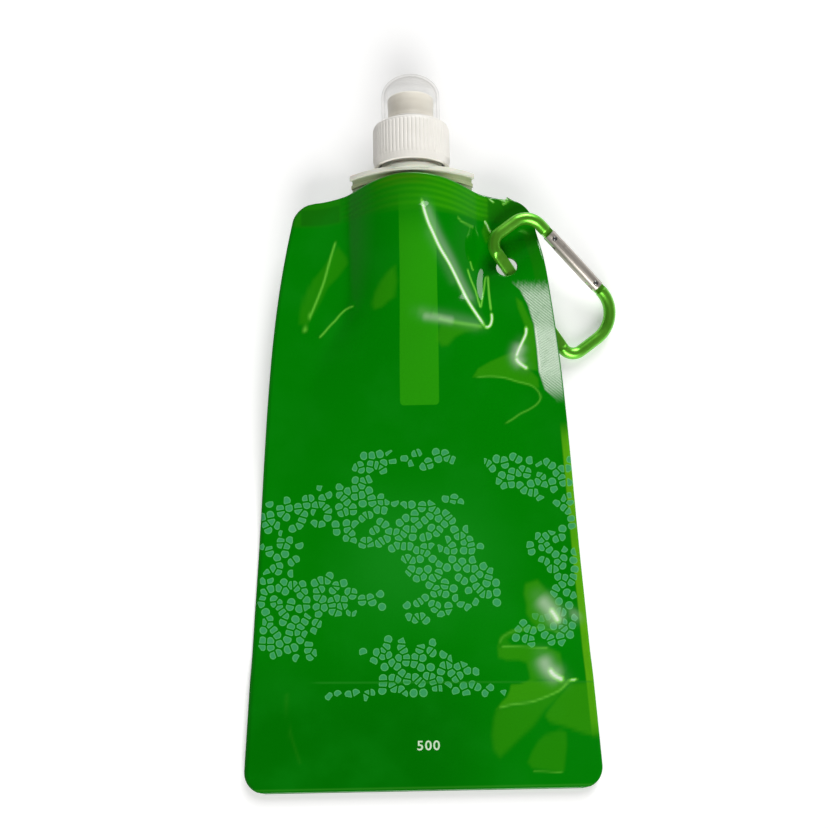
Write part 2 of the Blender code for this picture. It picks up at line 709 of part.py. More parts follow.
def rod(name, path, radius):
    """A round bar along points in the ring's plane, with its straight runs divided."""
    points = [path[0]]
    for a, b in zip(path, path[1:]):
        count = max(1, round((b - a).length / (5 * MM)))
        points += [a.lerp(b, k / count) for k in range(1, count + 1)]
    curve = bpy.data.curves.new(name, "CURVE")
    curve.dimensions = "3D"
    curve.bevel_depth = radius
    curve.bevel_resolution = 2
    curve.use_fill_caps = True
    line = curve.splines.new("POLY")
    line.points.add(len(points) - 1)
    for p, at in zip(line.points, points):
        p.co = (at.x, at.y, 0, 1)
    return baked(add(name, curve))


carabiner_frame = rod("carabiner_frame", with_steps(ring_path), ROD_RADIUS)
for vert in carabiner_frame.data.vertices:
    inside = min(vert.co.x - flat_from, flat_to - vert.co.x)
    if abs(vert.co.y) < 2 * ROD_RADIUS:
        limit = blend(ROD_RADIUS, SPINE_THICK / 2, smooth(inside / SPINE_STEP))
        vert.co.z = max(-limit, min(limit, vert.co.z))
placed(carabiner_frame, RING_FRAME)

gate_angle = (0, 0, GATE_SLANT)
tongue_in = 1.5 * MM
PIVOT_AT = GATE_START + PIVOT_INSET
LATCH_AT = GATE_END - LATCH_INSET


def tongue(name, start, end, half):
    """A flat plate along the gate line, united with the frame."""
    slab = box(name, (end - start, 2 * half, TONGUE))
    centre = on_gate_line((start + end) / 2)
    placed(slab, RING_FRAME, (*centre, 0), gate_angle)
    cut(carabiner_frame, slab, "UNION")


tongue("pivot_tongue", GATE_START - TONGUE_SHOW - tongue_in, PIVOT_AT + CAM_HALF, CAM_HALF)
nose_end = LATCH_AT - PIN_RADIUS - LATCH_CLEAR - 1.2 * MM
tongue("latch_tongue", nose_end, GATE_END + TONGUE_SHOW + tongue_in, CAM_HALF)

eye = cylinder("pivot_eye", PIN_RADIUS + PIN_GAP, 4 * TONGUE, 16)
placed(eye, RING_FRAME, (*on_gate_line(PIVOT_AT), 0))
cut(carabiner_frame, eye)
notch_half = PIN_RADIUS + LATCH_CLEAR
notch = box("latch_notch", (2 * notch_half, 2 * CAM_HALF, 4 * TONGUE))
placed(notch, RING_FRAME, (*on_gate_line(LATCH_AT, notch_half - CAM_HALF), 0), gate_angle)
cut(carabiner_frame, notch)
carabiner_frame.data.materials.append(material("carabiner_frame", ANODISED_GREEN, 0.3, 1.0))
shade(carabiner_frame)

# Gate: an empty on the pivot pin, with X along the gate
GATE_FRAME = bpy.data.objects.new("gate_axis", None)
PARTS.objects.link(GATE_FRAME)
placed(GATE_FRAME, RING_FRAME, (*on_gate_line(PIVOT_AT), 0), gate_angle)
LYING = (0, math.pi / 2, 0)
plunger_base = CAM_HALF + SEAT_GAP
spring_base = plunger_base + PLUNGER_LENGTH + SEAT_GAP
bore_end = spring_base + SPRING_LENGTH + SEAT_GAP
slot_height = TONGUE + 2 * RUN_GAP


def along_gate(name, start, end, radius, sides=24):
    obj = cylinder(name, radius, end - start, sides)
    return placed(obj, GATE_FRAME, ((start + end) / 2, 0, 0), LYING)


carabiner_gate = along_gate("carabiner_gate", -PIVOT_INSET, GATE_LENGTH - PIVOT_INSET, GATE_RADIUS, 28)
cut(carabiner_gate, along_gate("gate_bore", -PIVOT_INSET - 1 * MM, bore_end, GATE_BORE))
pivot_slot = CAM_HALF * math.sqrt(2) + RUN_GAP
slots = (
    ("pivot_slot", -PIVOT_INSET - 1 * MM, pivot_slot),
    ("latch_slot", GATE_LENGTH - PIVOT_INSET + nose_end - GATE_END - 2 * RUN_GAP, GATE_LENGTH - PIVOT_INSET + 1 * MM),
)
for name, start, end in slots:
    slot = box(name, (end - start, 3 * GATE_RADIUS, slot_height))
    placed(slot, GATE_FRAME, ((start + end) / 2, 0, 0))
    cut(carabiner_gate, slot)
pin_hole = cylinder("pivot_hole", PIN_RADIUS + PIN_GAP, 3 * GATE_RADIUS, 16)
placed(pin_hole, GATE_FRAME)
cut(carabiner_gate, pin_hole)
latch_x = LATCH_AT - PIVOT_AT
latch_hole = cylinder("latch_hole", PIN_RADIUS + PIN_GAP, 3 * GATE_RADIUS, 16)
placed(latch_hole, GATE_FRAME, (latch_x, 0, 0))
cut(carabiner_gate, latch_hole)
carabiner_gate.data.materials.append(material("carabiner_gate", SATIN_SILVER, 0.3, 1.0))
shade(carabiner_gate)

pin_length = 2 * GATE_RADIUS - 0.2 * MM
gate_pivot_pin = cylinder("gate_pivot_pin", PIN_RADIUS, pin_length, 16)
placed(gate_pivot_pin, GATE_FRAME)
gate_latch_pin = cylinder("gate_latch_pin", PIN_RADIUS, pin_length, 16)
placed(gate_latch_pin, GATE_FRAME, (latch_x, 0, 0))
for pin in (gate_pivot_pin, gate_latch_pin):
    pin.data.materials.append(material(pin.name, SPRING_STEEL, 0.25, 1.0))
    shade(pin)

gate_plunger = along_gate("gate_plunger", plunger_base, plunger_base + PLUNGER_LENGTH, PLUNGER_RADIUS)
gate_plunger.data.materials.append(material("gate_plunger", SPRING_STEEL, 0.3, 1.0))
shade(gate_plunger)


def spring(name, radius, wire, turns, length, points=10):
    """An open coil along X from the origin, wound as one tube."""
    curve = bpy.data.curves.new(name, "CURVE")
    curve.dimensions = "3D"
    curve.bevel_depth = wire / 2
    curve.bevel_resolution = 1
    curve.use_fill_caps = True
    line = curve.splines.new("POLY")
    count = turns * points
    line.points.add(count)
    for k, p in enumerate(line.points):
        turn = 2 * math.pi * k / points
        run = wire / 2 + (length - wire) * k / count
        p.co = (run, radius * math.cos(turn), radius * math.sin(turn), 1)
    return baked(add(name, curve))


coil_radius = GATE_BORE - RUN_GAP - SPRING_WIRE / 2
gate_spring = spring("gate_spring", coil_radius, SPRING_WIRE, SPRING_TURNS, SPRING_LENGTH)
placed(gate_spring, GATE_FRAME, (spring_base, 0, 0))
gate_spring.data.materials.append(material("gate_spring", SPRING_STEEL, 0.3, 1.0))
shade(gate_spring)

bpy.context.view_layer.update()
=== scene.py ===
# %% [markdown]
# # A collapsible water bottle
#
# The bottle is a flat pouch of two welded plastic films with a pleat in its bottom, so that it
# stands up when it is full and rolls up when it is empty. A moulded spout is welded into its top
# edge. A ribbed screw cap closes the spout and carries a push-pull nozzle under a clear dust
# cover. A small carabiner goes through a hole in the pouch's corner. Here the bottle is empty
# and lies on its back.
#
# The packed model gives every piece its place and its joints. This script dresses it: finer
# pieces replace the plain ones, and every surface gets its finish. Sizes are in millimetres
# where they are named, and MM turns them into Blender's metres.

# %% Load the frame
import math

import bmesh
import bpy
import numpy as np
from mathutils import Matrix, Vector


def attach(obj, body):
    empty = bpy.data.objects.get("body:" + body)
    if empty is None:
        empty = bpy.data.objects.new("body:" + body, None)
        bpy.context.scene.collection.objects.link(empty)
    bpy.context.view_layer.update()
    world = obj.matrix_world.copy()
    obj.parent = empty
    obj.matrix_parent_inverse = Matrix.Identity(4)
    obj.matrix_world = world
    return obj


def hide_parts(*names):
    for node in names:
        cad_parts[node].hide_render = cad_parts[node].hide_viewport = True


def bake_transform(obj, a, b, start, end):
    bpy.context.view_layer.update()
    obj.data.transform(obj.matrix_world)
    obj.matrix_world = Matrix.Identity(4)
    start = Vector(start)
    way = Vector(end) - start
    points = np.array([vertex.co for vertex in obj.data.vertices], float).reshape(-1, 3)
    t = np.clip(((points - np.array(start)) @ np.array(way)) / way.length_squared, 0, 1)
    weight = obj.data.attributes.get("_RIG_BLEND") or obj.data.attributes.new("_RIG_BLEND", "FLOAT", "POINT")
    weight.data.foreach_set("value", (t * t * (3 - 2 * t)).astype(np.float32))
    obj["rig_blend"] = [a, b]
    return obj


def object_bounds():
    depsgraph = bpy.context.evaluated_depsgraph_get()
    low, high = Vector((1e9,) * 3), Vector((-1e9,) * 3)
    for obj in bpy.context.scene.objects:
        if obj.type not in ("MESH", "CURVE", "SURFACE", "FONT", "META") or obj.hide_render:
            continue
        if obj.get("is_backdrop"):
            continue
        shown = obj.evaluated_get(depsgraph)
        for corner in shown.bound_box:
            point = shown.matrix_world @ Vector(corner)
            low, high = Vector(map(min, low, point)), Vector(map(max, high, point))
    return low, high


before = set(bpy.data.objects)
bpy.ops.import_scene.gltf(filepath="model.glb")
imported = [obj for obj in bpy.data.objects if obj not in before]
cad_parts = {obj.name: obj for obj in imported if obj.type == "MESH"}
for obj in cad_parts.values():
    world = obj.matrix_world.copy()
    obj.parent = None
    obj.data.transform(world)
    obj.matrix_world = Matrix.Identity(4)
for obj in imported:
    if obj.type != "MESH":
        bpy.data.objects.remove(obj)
cad_box = [list(corner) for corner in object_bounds()]
MM = 0.001
print("model's box in mm:", [[round(v / MM, 1) for v in corner] for corner in cad_box])

# %% [markdown]
# ## Light, floor and camera
#
# The film is glossy, so it mirrors whatever hangs above it. A bright ceiling would turn the
# whole pouch grey. The sky is therefore dim, and two wide soft lights stand at the bottle's
# head and foot, where its bulge doesn't mirror them. A third one is small and stands above
# the head: only folds and edges catch it, each as a thin bright line. The camera looks almost
# straight down, a little from the foot.

# %% Camera
CAMERA_AT = Vector((-0.0009, 0.0343, 0.4213))
CAMERA_TO = Vector((-0.0009, 0.0973, 0.0))
CAMERA_ROLL = math.radians(-1.1)
CAMERA_LENS = 50
CAMERA_SENSOR = 36
CAMERA_NEAREST = 0.01


def add_camera():
    forward = (CAMERA_TO - CAMERA_AT).normalized()
    level = forward.cross(Vector((0, 1, 0))).normalized()
    above = level.cross(forward)
    right = math.cos(CAMERA_ROLL) * level + math.sin(CAMERA_ROLL) * above
    up = right.cross(forward)
    lens = bpy.data.cameras.new("camera")
    lens.lens = CAMERA_LENS
    lens.sensor_width = CAMERA_SENSOR
    lens.clip_start = CAMERA_NEAREST
    camera = bpy.data.objects.new("camera", lens)
    bpy.context.scene.collection.objects.link(camera)
    turn = Matrix((right, up, -forward)).transposed().to_4x4()
    camera.matrix_world = Matrix.Translation(CAMERA_AT) @ turn
    bpy.context.scene.camera = camera


add_camera()
print("camera stands", round(CAMERA_AT.z / MM), "mm above the floor")


# %% [markdown]
# ## Shader sums as Python
#
# A finish is a sum of many small terms, such as a seam, a print or a wear mark. Wiring each
# Math node by hand hides the sum. The class Signal wraps one output socket and gives it
# Python's operators, so that the sum can be read and changed as one line.

# %% Signal
class Signal:
    """One output socket that can be added, multiplied and compared."""

    def __init__(self, tree, socket):
        self.tree = tree
        self.socket = socket

    def output(self, key):
        """Another output of the same node."""
        return Signal(self.tree, self.socket.node.outputs[key])

    def math(self, operation, *others, first=None):
        terms = (self, *others) if first is None else (first, self)
        return self.tree.node("ShaderNodeMath", {"operation": operation}, dict(enumerate(terms)))

    def __add__(self, other):
        return self.math("ADD", other)

    def __mul__(self, other):
        return self.math("MULTIPLY", other)

    def __sub__(self, other):
        return self.math("SUBTRACT", other)

    def __rsub__(self, other):
        return self.math("SUBTRACT", first=other)

    def __truediv__(self, other):
        return self.math("DIVIDE", other)

    def __pow__(self, other):
        return self.math("POWER", other)

    def __abs__(self):
        return self.math("ABSOLUTE")

    __radd__ = __add__
    __rmul__ = __mul__

    def step(self, low, high):
        """0 below low, 1 above high, a soft ramp between; the other way round if high < low."""
        ends = (low, high, 0.0, 1.0) if low <= high else (high, low, 1.0, 0.0)
        inputs = {0: self, **dict(enumerate(ends, 1))}
        return self.tree.node("ShaderNodeMapRange", {"interpolation_type": "SMOOTHSTEP"}, inputs)

    def above(self, limit):
        """1 above the limit, 0 below it, with no ramp."""
        return self.math("GREATER_THAN", limit)

    def within(self, low, high, soft):
        """1 between low and high."""
        return self.step(low - soft, low + soft) * self.step(high + soft, high - soft)


print("a Signal also has:", [name for name in vars(Signal) if not name.startswith("_")])

# %% [markdown]
# Every other node comes from one method, which takes the node's kind, its settings and what
# goes into its sockets. Tree has that method and short names for the nodes that are needed
# often. Paint adds a material and its one Principled shader. The sky uses Tree alone.

# %% Tree and Paint
class Tree:
    """An empty node tree, and one method that makes its nodes."""

    def __init__(self, nodes):
        self.nodes = nodes.nodes
        self.links = nodes.links
        self.nodes.clear()

    def node(self, kind, settings=None, inputs=None):
        """A node of that kind: its settings first, then the values or links of its sockets."""
        made = self.nodes.new(kind)
        for key, value in (settings or {}).items():
            if key == "stops":
                fill_ramp(made.color_ramp, value)
            else:
                setattr(made, key, value)
        for key, value in (inputs or {}).items():
            self.feed(made.inputs[key], value)
        return Signal(self, made.outputs[0])

    def feed(self, socket, value):
        if isinstance(value, Signal):
            self.links.new(value.socket, socket)
        else:
            socket.default_value = value

    def end_with(self, shader, kind="ShaderNodeOutputMaterial"):
        """Feeds the shader to the tree's only output node."""
        ends = [n for n in self.nodes if n.bl_idname == kind] or [self.nodes.new(kind)]
        self.feed(ends[0].inputs["Surface"], shader)

    def mix(self, factor, a, b):
        inputs = {0: factor, 6: a, 7: b}
        return self.node("ShaderNodeMix", {"data_type": "RGBA"}, inputs).output(2)

    def parts(self, vector):
        """A vector's numbers, as the outputs X, Y and Z."""
        return self.node("ShaderNodeSeparateXYZ", inputs={0: vector})

    def flat(self, x, y):
        """A vector from two numbers."""
        return self.node("ShaderNodeCombineXYZ", inputs={0: x, 1: y})

    def place(self, kind="Object"):
        """Where a point is, in the object's own measure."""
        return self.node("ShaderNodeTexCoord").output(kind)

    def mark(self, name):
        """A number that the mesh carries for each of its points."""
        return self.node("ShaderNodeAttribute", {"attribute_name": name}).output("Fac")

    def noise(self, place, scale, detail=2.0, roughness=0.5):
        inputs = {"Vector": place, "Scale": scale, "Detail": detail, "Roughness": roughness}
        return self.node("ShaderNodeTexNoise", inputs=inputs)

    def mapped(self, place, **changes):
        """A place that is turned or scaled."""
        return self.node("ShaderNodeMapping", inputs={"Vector": place, **changes})

    def bump(self, height, depth, strength=1.0):
        """A normal from a height of 0 to 1, where 1 stands depth metres proud."""
        inputs = {"Height": height, "Distance": depth, "Strength": strength}
        return self.node("ShaderNodeBump", inputs=inputs)


class Paint(Tree):
    """A material built from plain calls, around one Principled shader."""

    def __init__(self, name, **sockets):
        self.material = bpy.data.materials.new(name)
        self.material.use_nodes = True
        super().__init__(self.material.node_tree)
        self.shader = self.node("ShaderNodeBsdfPrincipled")
        self.end_with(self.shader)
        self.set(**sockets)

    def set(self, **sockets):
        """Feeds the shader's sockets, whose names have _ for each space."""
        for key, value in sockets.items():
            self.feed(self.shader.socket.node.inputs[key.replace("_", " ")], value)


def fill_ramp(ramp, stops):
    """Gives a colour ramp its stops, as (position, colour) pairs."""
    while len(ramp.elements) < len(stops):
        ramp.elements.new(0.5)
    for element, (position, tint) in zip(ramp.elements, stops):
        element.position = position
        element.color = tint


def grey(level):
    return (level, level, level, 1.0)


def colour(red, green, blue):
    """A colour as it is read off a screen, 0 to 255, turned into a shader's linear one."""
    parts = (v / 255 for v in (red, green, blue))
    linear = (v / 12.92 if v <= 0.04045 else ((v + 0.055) / 1.055) ** 2.4 for v in parts)
    return (*linear, 1.0)


print("a mid grey is", [round(v, 3) for v in colour(128, 128, 128)])

# %% [markdown]
# The floor is plain and white. Where the camera or a mirror ray meets it, a little glow is
# added to its own colour, so that the lit floor reads as white while the shadow of the bottle
# stays on it. Rays that light the bottle see only the plain floor.

# %% Floor, sky and lamps
FLOOR_GREY = 0.82
FLOOR_GLOW = 0.34
FLOOR_HALF = 3.0
FLOOR_DROP = 0.00005
SKY_LOW = 0.15
SKY_HIGH = 0.60


def new_object(name, bm):
    """A bmesh as a linked object at the origin."""
    mesh = bpy.data.meshes.new(name)
    bm.to_mesh(mesh)
    bm.free()
    obj = bpy.data.objects.new(name, mesh)
    bpy.context.scene.collection.objects.link(obj)
    return obj


def add_floor():
    bm = bmesh.new()
    bmesh.ops.create_grid(bm, x_segments=1, y_segments=1, size=FLOOR_HALF)
    bmesh.ops.translate(bm, verts=bm.verts, vec=(0, 0, -FLOOR_DROP))
    floor = new_object("floor", bm)
    paint = Paint("floor_white", Base_Color=grey(FLOOR_GREY), Roughness=0.9, Specular_IOR_Level=0.0)
    path = paint.node("ShaderNodeLightPath")
    seen = path.output("Is Camera Ray").math("MAXIMUM", path.output("Is Glossy Ray"))
    seen = seen.math("MAXIMUM", path.output("Is Transmission Ray"))
    glow = paint.node("ShaderNodeEmission", inputs={"Strength": FLOOR_GLOW})
    both = paint.node("ShaderNodeAddShader", inputs={0: paint.shader, 1: glow})
    paint.end_with(paint.node("ShaderNodeMixShader", inputs={0: seen, 1: paint.shader, 2: both}))
    floor.data.materials.append(paint.material)
    floor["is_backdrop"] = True


def add_sky(level, overhead):
    """A dim sky, dimmer overhead. The camera sees it white."""
    world = bpy.data.worlds.new("sky")
    bpy.context.scene.world = world
    world.use_nodes = True
    sky = Tree(world.node_tree)
    height = sky.parts(sky.place("Generated")).output("Z")
    stops = [(SKY_LOW, grey(level)), (SKY_HIGH, grey(overhead))]
    dim = sky.node("ShaderNodeValToRGB", {"stops": stops}, {0: height})
    seen = sky.node("ShaderNodeLightPath").output("Is Camera Ray")
    light = sky.node("ShaderNodeBackground", inputs={"Color": sky.mix(seen, dim, grey(1.0))})
    sky.end_with(light, "ShaderNodeOutputWorld")


def add_sun(name, towards, width, strength, tint=(1.0, 1.0, 1.0)):
    """Far light from a direction, alike on the whole floor; width is its size in degrees."""
    light = bpy.data.lights.new(name, "SUN")
    light.angle = math.radians(width)
    light.energy = strength
    light.color = tint
    lamp = bpy.data.objects.new(name, light)
    bpy.context.scene.collection.objects.link(lamp)
    lamp.rotation_euler = Vector(towards).to_track_quat("Z", "Y").to_euler()


add_floor()
add_sky(level=0.20, overhead=0.03)
add_sun("foot_light", (0.10, -0.86, 0.50), width=40, strength=2.75, tint=(1.0, 0.99, 0.97))
add_sun("head_light", (0.25, 0.85, 0.55), width=40, strength=2.3)
add_sun("high_glint", (0.30, 0.85, 0.42), width=8, strength=0.4)

# %% [markdown]
# ## The pouch's shape
#
# Both films follow the same few rules as the model's solids. The outline narrows from the
# bottom to the shoulder, the top edge rises in an arch over the spout, and the films part to
# pass round the boat-shaped foot of the spout. Height is measured up from the bottom edge.
# The rules are written for whole arrays, so that a sheet of nearly fifty thousand points
# takes no time.

# %% Sizes of the pouch
LENGTH = 211.0
BOTTOM_WIDTH = 127.2
SIDE_TAPER = 27.0
SHOULDER_DRAW = 15.3
BOTTOM_CORNER = 8.0
SHOULDER_CORNER = 7.0
SEAL_WIDTH = 4.5
GUSSET_FOLD = 37.0
DATUM = 37.0
AXIS_Z = 14.2
FILM = 0.35
GUSSET_FILM = 0.3
HOLE = (33.9, 185.7)
HOLE_RADIUS = 3.8
ARCH_RISE = 7.5
ARCH_HALF_WIDTH = 36.0
BOAT_BASE = 206.2
BOAT_HALF_LENGTH = 23.0
BOAT_HALF_DEPTH = 10.5
RING_TURN = math.radians(-53.8)

# The strip that is welded shut under the hole: its width, where it begins, how it widens.
SHUT_WIDTH, SHUT_FROM, SHUT_RUN = 18.0, 150.0, 28.0
# From here up the films part for the boat, and here the pouch lifts off the ground.
PART_FROM = 105.0
LIFT_FROM, LIFT_RUN = 75.0, 110.0
# Half the air between the films over the pleat, at the seals and in the middle.
PLEAT_AIR, SEAL_AIR, LOOSE_AIR = 0.9, 0.15, 1.2
# Over the pleat's fold the films come together within this height.
CLOSE_FROM, CLOSE_RUN = GUSSET_FOLD + 0.3, 12
# Play of the films round the boat, along it and across, and how softly its ends run out.
BOAT_PLAY, BOAT_AIR, BOAT_EASE = 0.4, 0.2, 1.8
# Slope of the films at the hole, and how far along and across the ring it reaches.
HOLE_SLOPE, SLOPE_ALONG, SLOPE_ACROSS = 0.48, 8, 30


def smooth(t):
    t = np.clip(t, 0.0, 1.0)
    return t * t * (3 - 2 * t)


def blend(a, b, t):
    return a + (b - a) * t


def side_half_width(height):
    t = height / LENGTH
    return (BOTTOM_WIDTH - SIDE_TAPER * t - SHOULDER_DRAW * t ** 5) / 2


def half_width(height):
    """Half the pouch's width, with its rounded corners."""
    half = side_half_width(height)
    for radius, away in ((BOTTOM_CORNER, height), (SHOULDER_CORNER, LENGTH - height)):
        reach = np.clip(radius - away, 0.0, radius)
        half = half - radius + np.sqrt(radius * radius - reach * reach)
    return half


def arch(x):
    """How far the top edge stands above the shoulder."""
    t = np.clip(np.abs(x) / ARCH_HALF_WIDTH, 0.0, 1.0)
    return ARCH_RISE * np.cos(np.pi / 2 * t) ** 1.6


def boat(x, half_length, half_depth, ease=0.0):
    """Half thickness of a shape between two arcs. ease runs its ends out, as film does."""
    depth = np.maximum(half_depth, 1e-6)
    radius = (half_length ** 2 + depth ** 2) / (2 * depth)
    inside = np.sqrt(np.maximum(radius ** 2 - x * x, 0.0)) - (radius - depth)
    return (inside + np.sqrt(inside ** 2 + ease ** 2)) / 2


def half_gap(x, height):
    """From the pouch's middle surface to either film's inner face."""
    half = side_half_width(height) - SEAL_WIDTH
    left = -half
    right = half - SHUT_WIDTH * smooth((height - SHUT_FROM) / SHUT_RUN)
    across = (2 * x - left - right) / (right - left)
    puff = np.maximum(0.0, 1 - across * across) ** 1.5
    spread = smooth((height - PART_FROM) / (BOAT_BASE - PART_FROM))
    loose = SEAL_AIR + LOOSE_AIR * puff * (1 - spread)
    over_gusset = blend(PLEAT_AIR, loose, smooth((height - CLOSE_FROM) / CLOSE_RUN))
    reach = blend(0.9 * right, BOAT_HALF_LENGTH + BOAT_PLAY, spread)
    depth = spread * (BOAT_HALF_DEPTH + BOAT_AIR)
    return over_gusset + boat(x, reach, depth, BOAT_EASE * spread)


def middle(x, height):
    """Z of the surface halfway between the films."""
    lift = smooth((height - LIFT_FROM) / LIFT_RUN)
    dx, dy = x - HOLE[0], height - HOLE[1]
    along = dx * math.cos(RING_TURN) + dy * math.sin(RING_TURN)
    across = dx * math.sin(RING_TURN) - dy * math.cos(RING_TURN)
    fade = np.exp(-0.5 * (along / SLOPE_ALONG) ** 2 - 0.5 * (across / SLOPE_ACROSS) ** 2)
    slope = HOLE_SLOPE * along * fade * lift
    return blend(FILM + half_gap(x, height), AXIS_Z, lift) + slope


shoulder_width = round(2 * float(side_half_width(LENGTH)), 1)
print("width at the bottom and at the shoulder:", BOTTOM_WIDTH, shoulder_width)

# %% [markdown]
# ## Folds in the front film
#
# Laminated film is too stiff to drape like cloth. It buckles into long, sharp ridges with flat
# facets between them. Each ridge here is a curve through a few points on the film, with a
# height, a width on either side, a crest that is almost sharp and a painted highlight along
# that crest. Points are given as distance across and height up the film. A ridge's two sides
# may differ, because film usually tents gently on one side and drops steeply on the other.

# %% Curves on the film
def through(points, step=1.0):
    """A smooth curve through the points, as closely spaced points."""
    p = np.array(points, float)
    p = np.vstack([2 * p[0] - p[1], p, 2 * p[-1] - p[-2]])
    out = []
    for a, b, c, d in zip(p, p[1:], p[2:], p[3:]):
        steps = max(2, int(np.linalg.norm(c - b) / step))
        t = np.linspace(0, 1, steps, endpoint=False)[:, None]
        square, cube = 2 * a - 5 * b + 4 * c - d, 3 * b - a - 3 * c + d
        out.append(0.5 * (2 * b + (c - a) * t + square * t ** 2 + cube * t ** 3))
    return np.vstack([*out, p[-2][None]])


def near_curve(x, height, curve):
    """For every place: its distance from the curve, the side it is on (1 to the left of the
    curve's run) and how far along the curve it is, from 0 to 1."""
    best = np.full(x.shape, 1e9)
    side = np.zeros(x.shape)
    run = np.zeros(x.shape)
    lengths = np.linalg.norm(np.diff(curve, axis=0), axis=1)
    starts = np.concatenate([[0.0], np.cumsum(lengths)])
    for (ax, ay), (bx, by), length, start in zip(curve, curve[1:], lengths, starts):
        dx, dy = (bx - ax) / length, (by - ay) / length
        t = np.clip((x - ax) * dx + (height - ay) * dy, 0.0, length)
        away = np.hypot(x - ax - t * dx, height - ay - t * dy)
        closer = away < best
        best = np.where(closer, away, best)
        side = np.where(closer, np.sign((height - ay) * dx - (x - ax) * dy), side)
        run = np.where(closer, (start + t) / starts[-1], run)
    return best, side, run


def ridge(x, height, points, rise, left, right, mark, line):
    """Rise of the film at a ridge, and the painted highlight on its crest, both for every place."""
    away, side, run = near_curve(x, height, through(points))
    fade = smooth(run / RIDGE_END) * smooth((1 - run) / RIDGE_END)
    blunt = np.sqrt(away ** 2 + CREST ** 2) - CREST
    width = np.where(side > 0, left, right)
    return rise * fade * np.exp(-blunt / width), mark * fade * np.exp(-(away / line) ** 2)


def sheen(x, height, points, mark, line):
    """A painted highlight: a bright line or glow along a curve, fading over more of it the wider
    it is.
    """
    curve = through(points)
    away, _, run = near_curve(x, height, curve)
    length = np.linalg.norm(np.diff(curve, axis=0), axis=1).sum()
    fade = np.clip(1.6 * line / length, 0.10, 0.5)
    ends = smooth(0.4 - fade * 0.6 + run / fade) * smooth(0.4 - fade * 0.6 + (1 - run) / fade)
    return mark * ends * np.exp(-(away / line) ** 2)


def inside(x, height, outline, soft):
    """1 well inside a closed outline, 0 outside it, with a soft edge."""
    ring = np.array(outline + outline[:1], float)
    away, _, _ = near_curve(x, height, ring)
    odd = np.zeros(x.shape, bool)
    for (ax, ay), (bx, by) in zip(ring, ring[1:]):
        crosses = (ay > height) != (by > height)
        with np.errstate(divide="ignore", invalid="ignore"):
            odd ^= crosses & (x < (bx - ax) * (height - ay) / (by - ay) + ax)
    return smooth(np.where(odd, away, -away) / soft + 0.5)


print("points on a test curve:", len(through([(0, 0), (10, 5), (20, 0)])))

# %% [markdown]
# The longest fold runs from the spout's foot to below the hole. Shorter ones meet it there,
# and others cross the right shoulder and the lower right corner. They could be sculpted by
# hand. As short lists of points each can be read, moved and made softer by itself, and the
# same rule later lays the printed number on the film.

# %% Ridges, sheens and facets
CREST = 0.35
RIDGE_END = 0.06
SOFT_FROM = 1.3
# A slow swell over the whole film: its rise, and how it runs across and up.
SWELL, SWELL_ACROSS, SWELL_UP = 0.12, 9.0, 23.0

LONG_FOLD = [
    (3.3, 202.5), (3.9, 200.4), (5.4, 196.8), (7.1, 194.0), (9.5, 190.1), (12.4, 186.2),
    (14.8, 181.9), (17.3, 176.5), (19.6, 171.5), (22.1, 167.5), (24.2, 164.6), (25.2, 163.3),
]
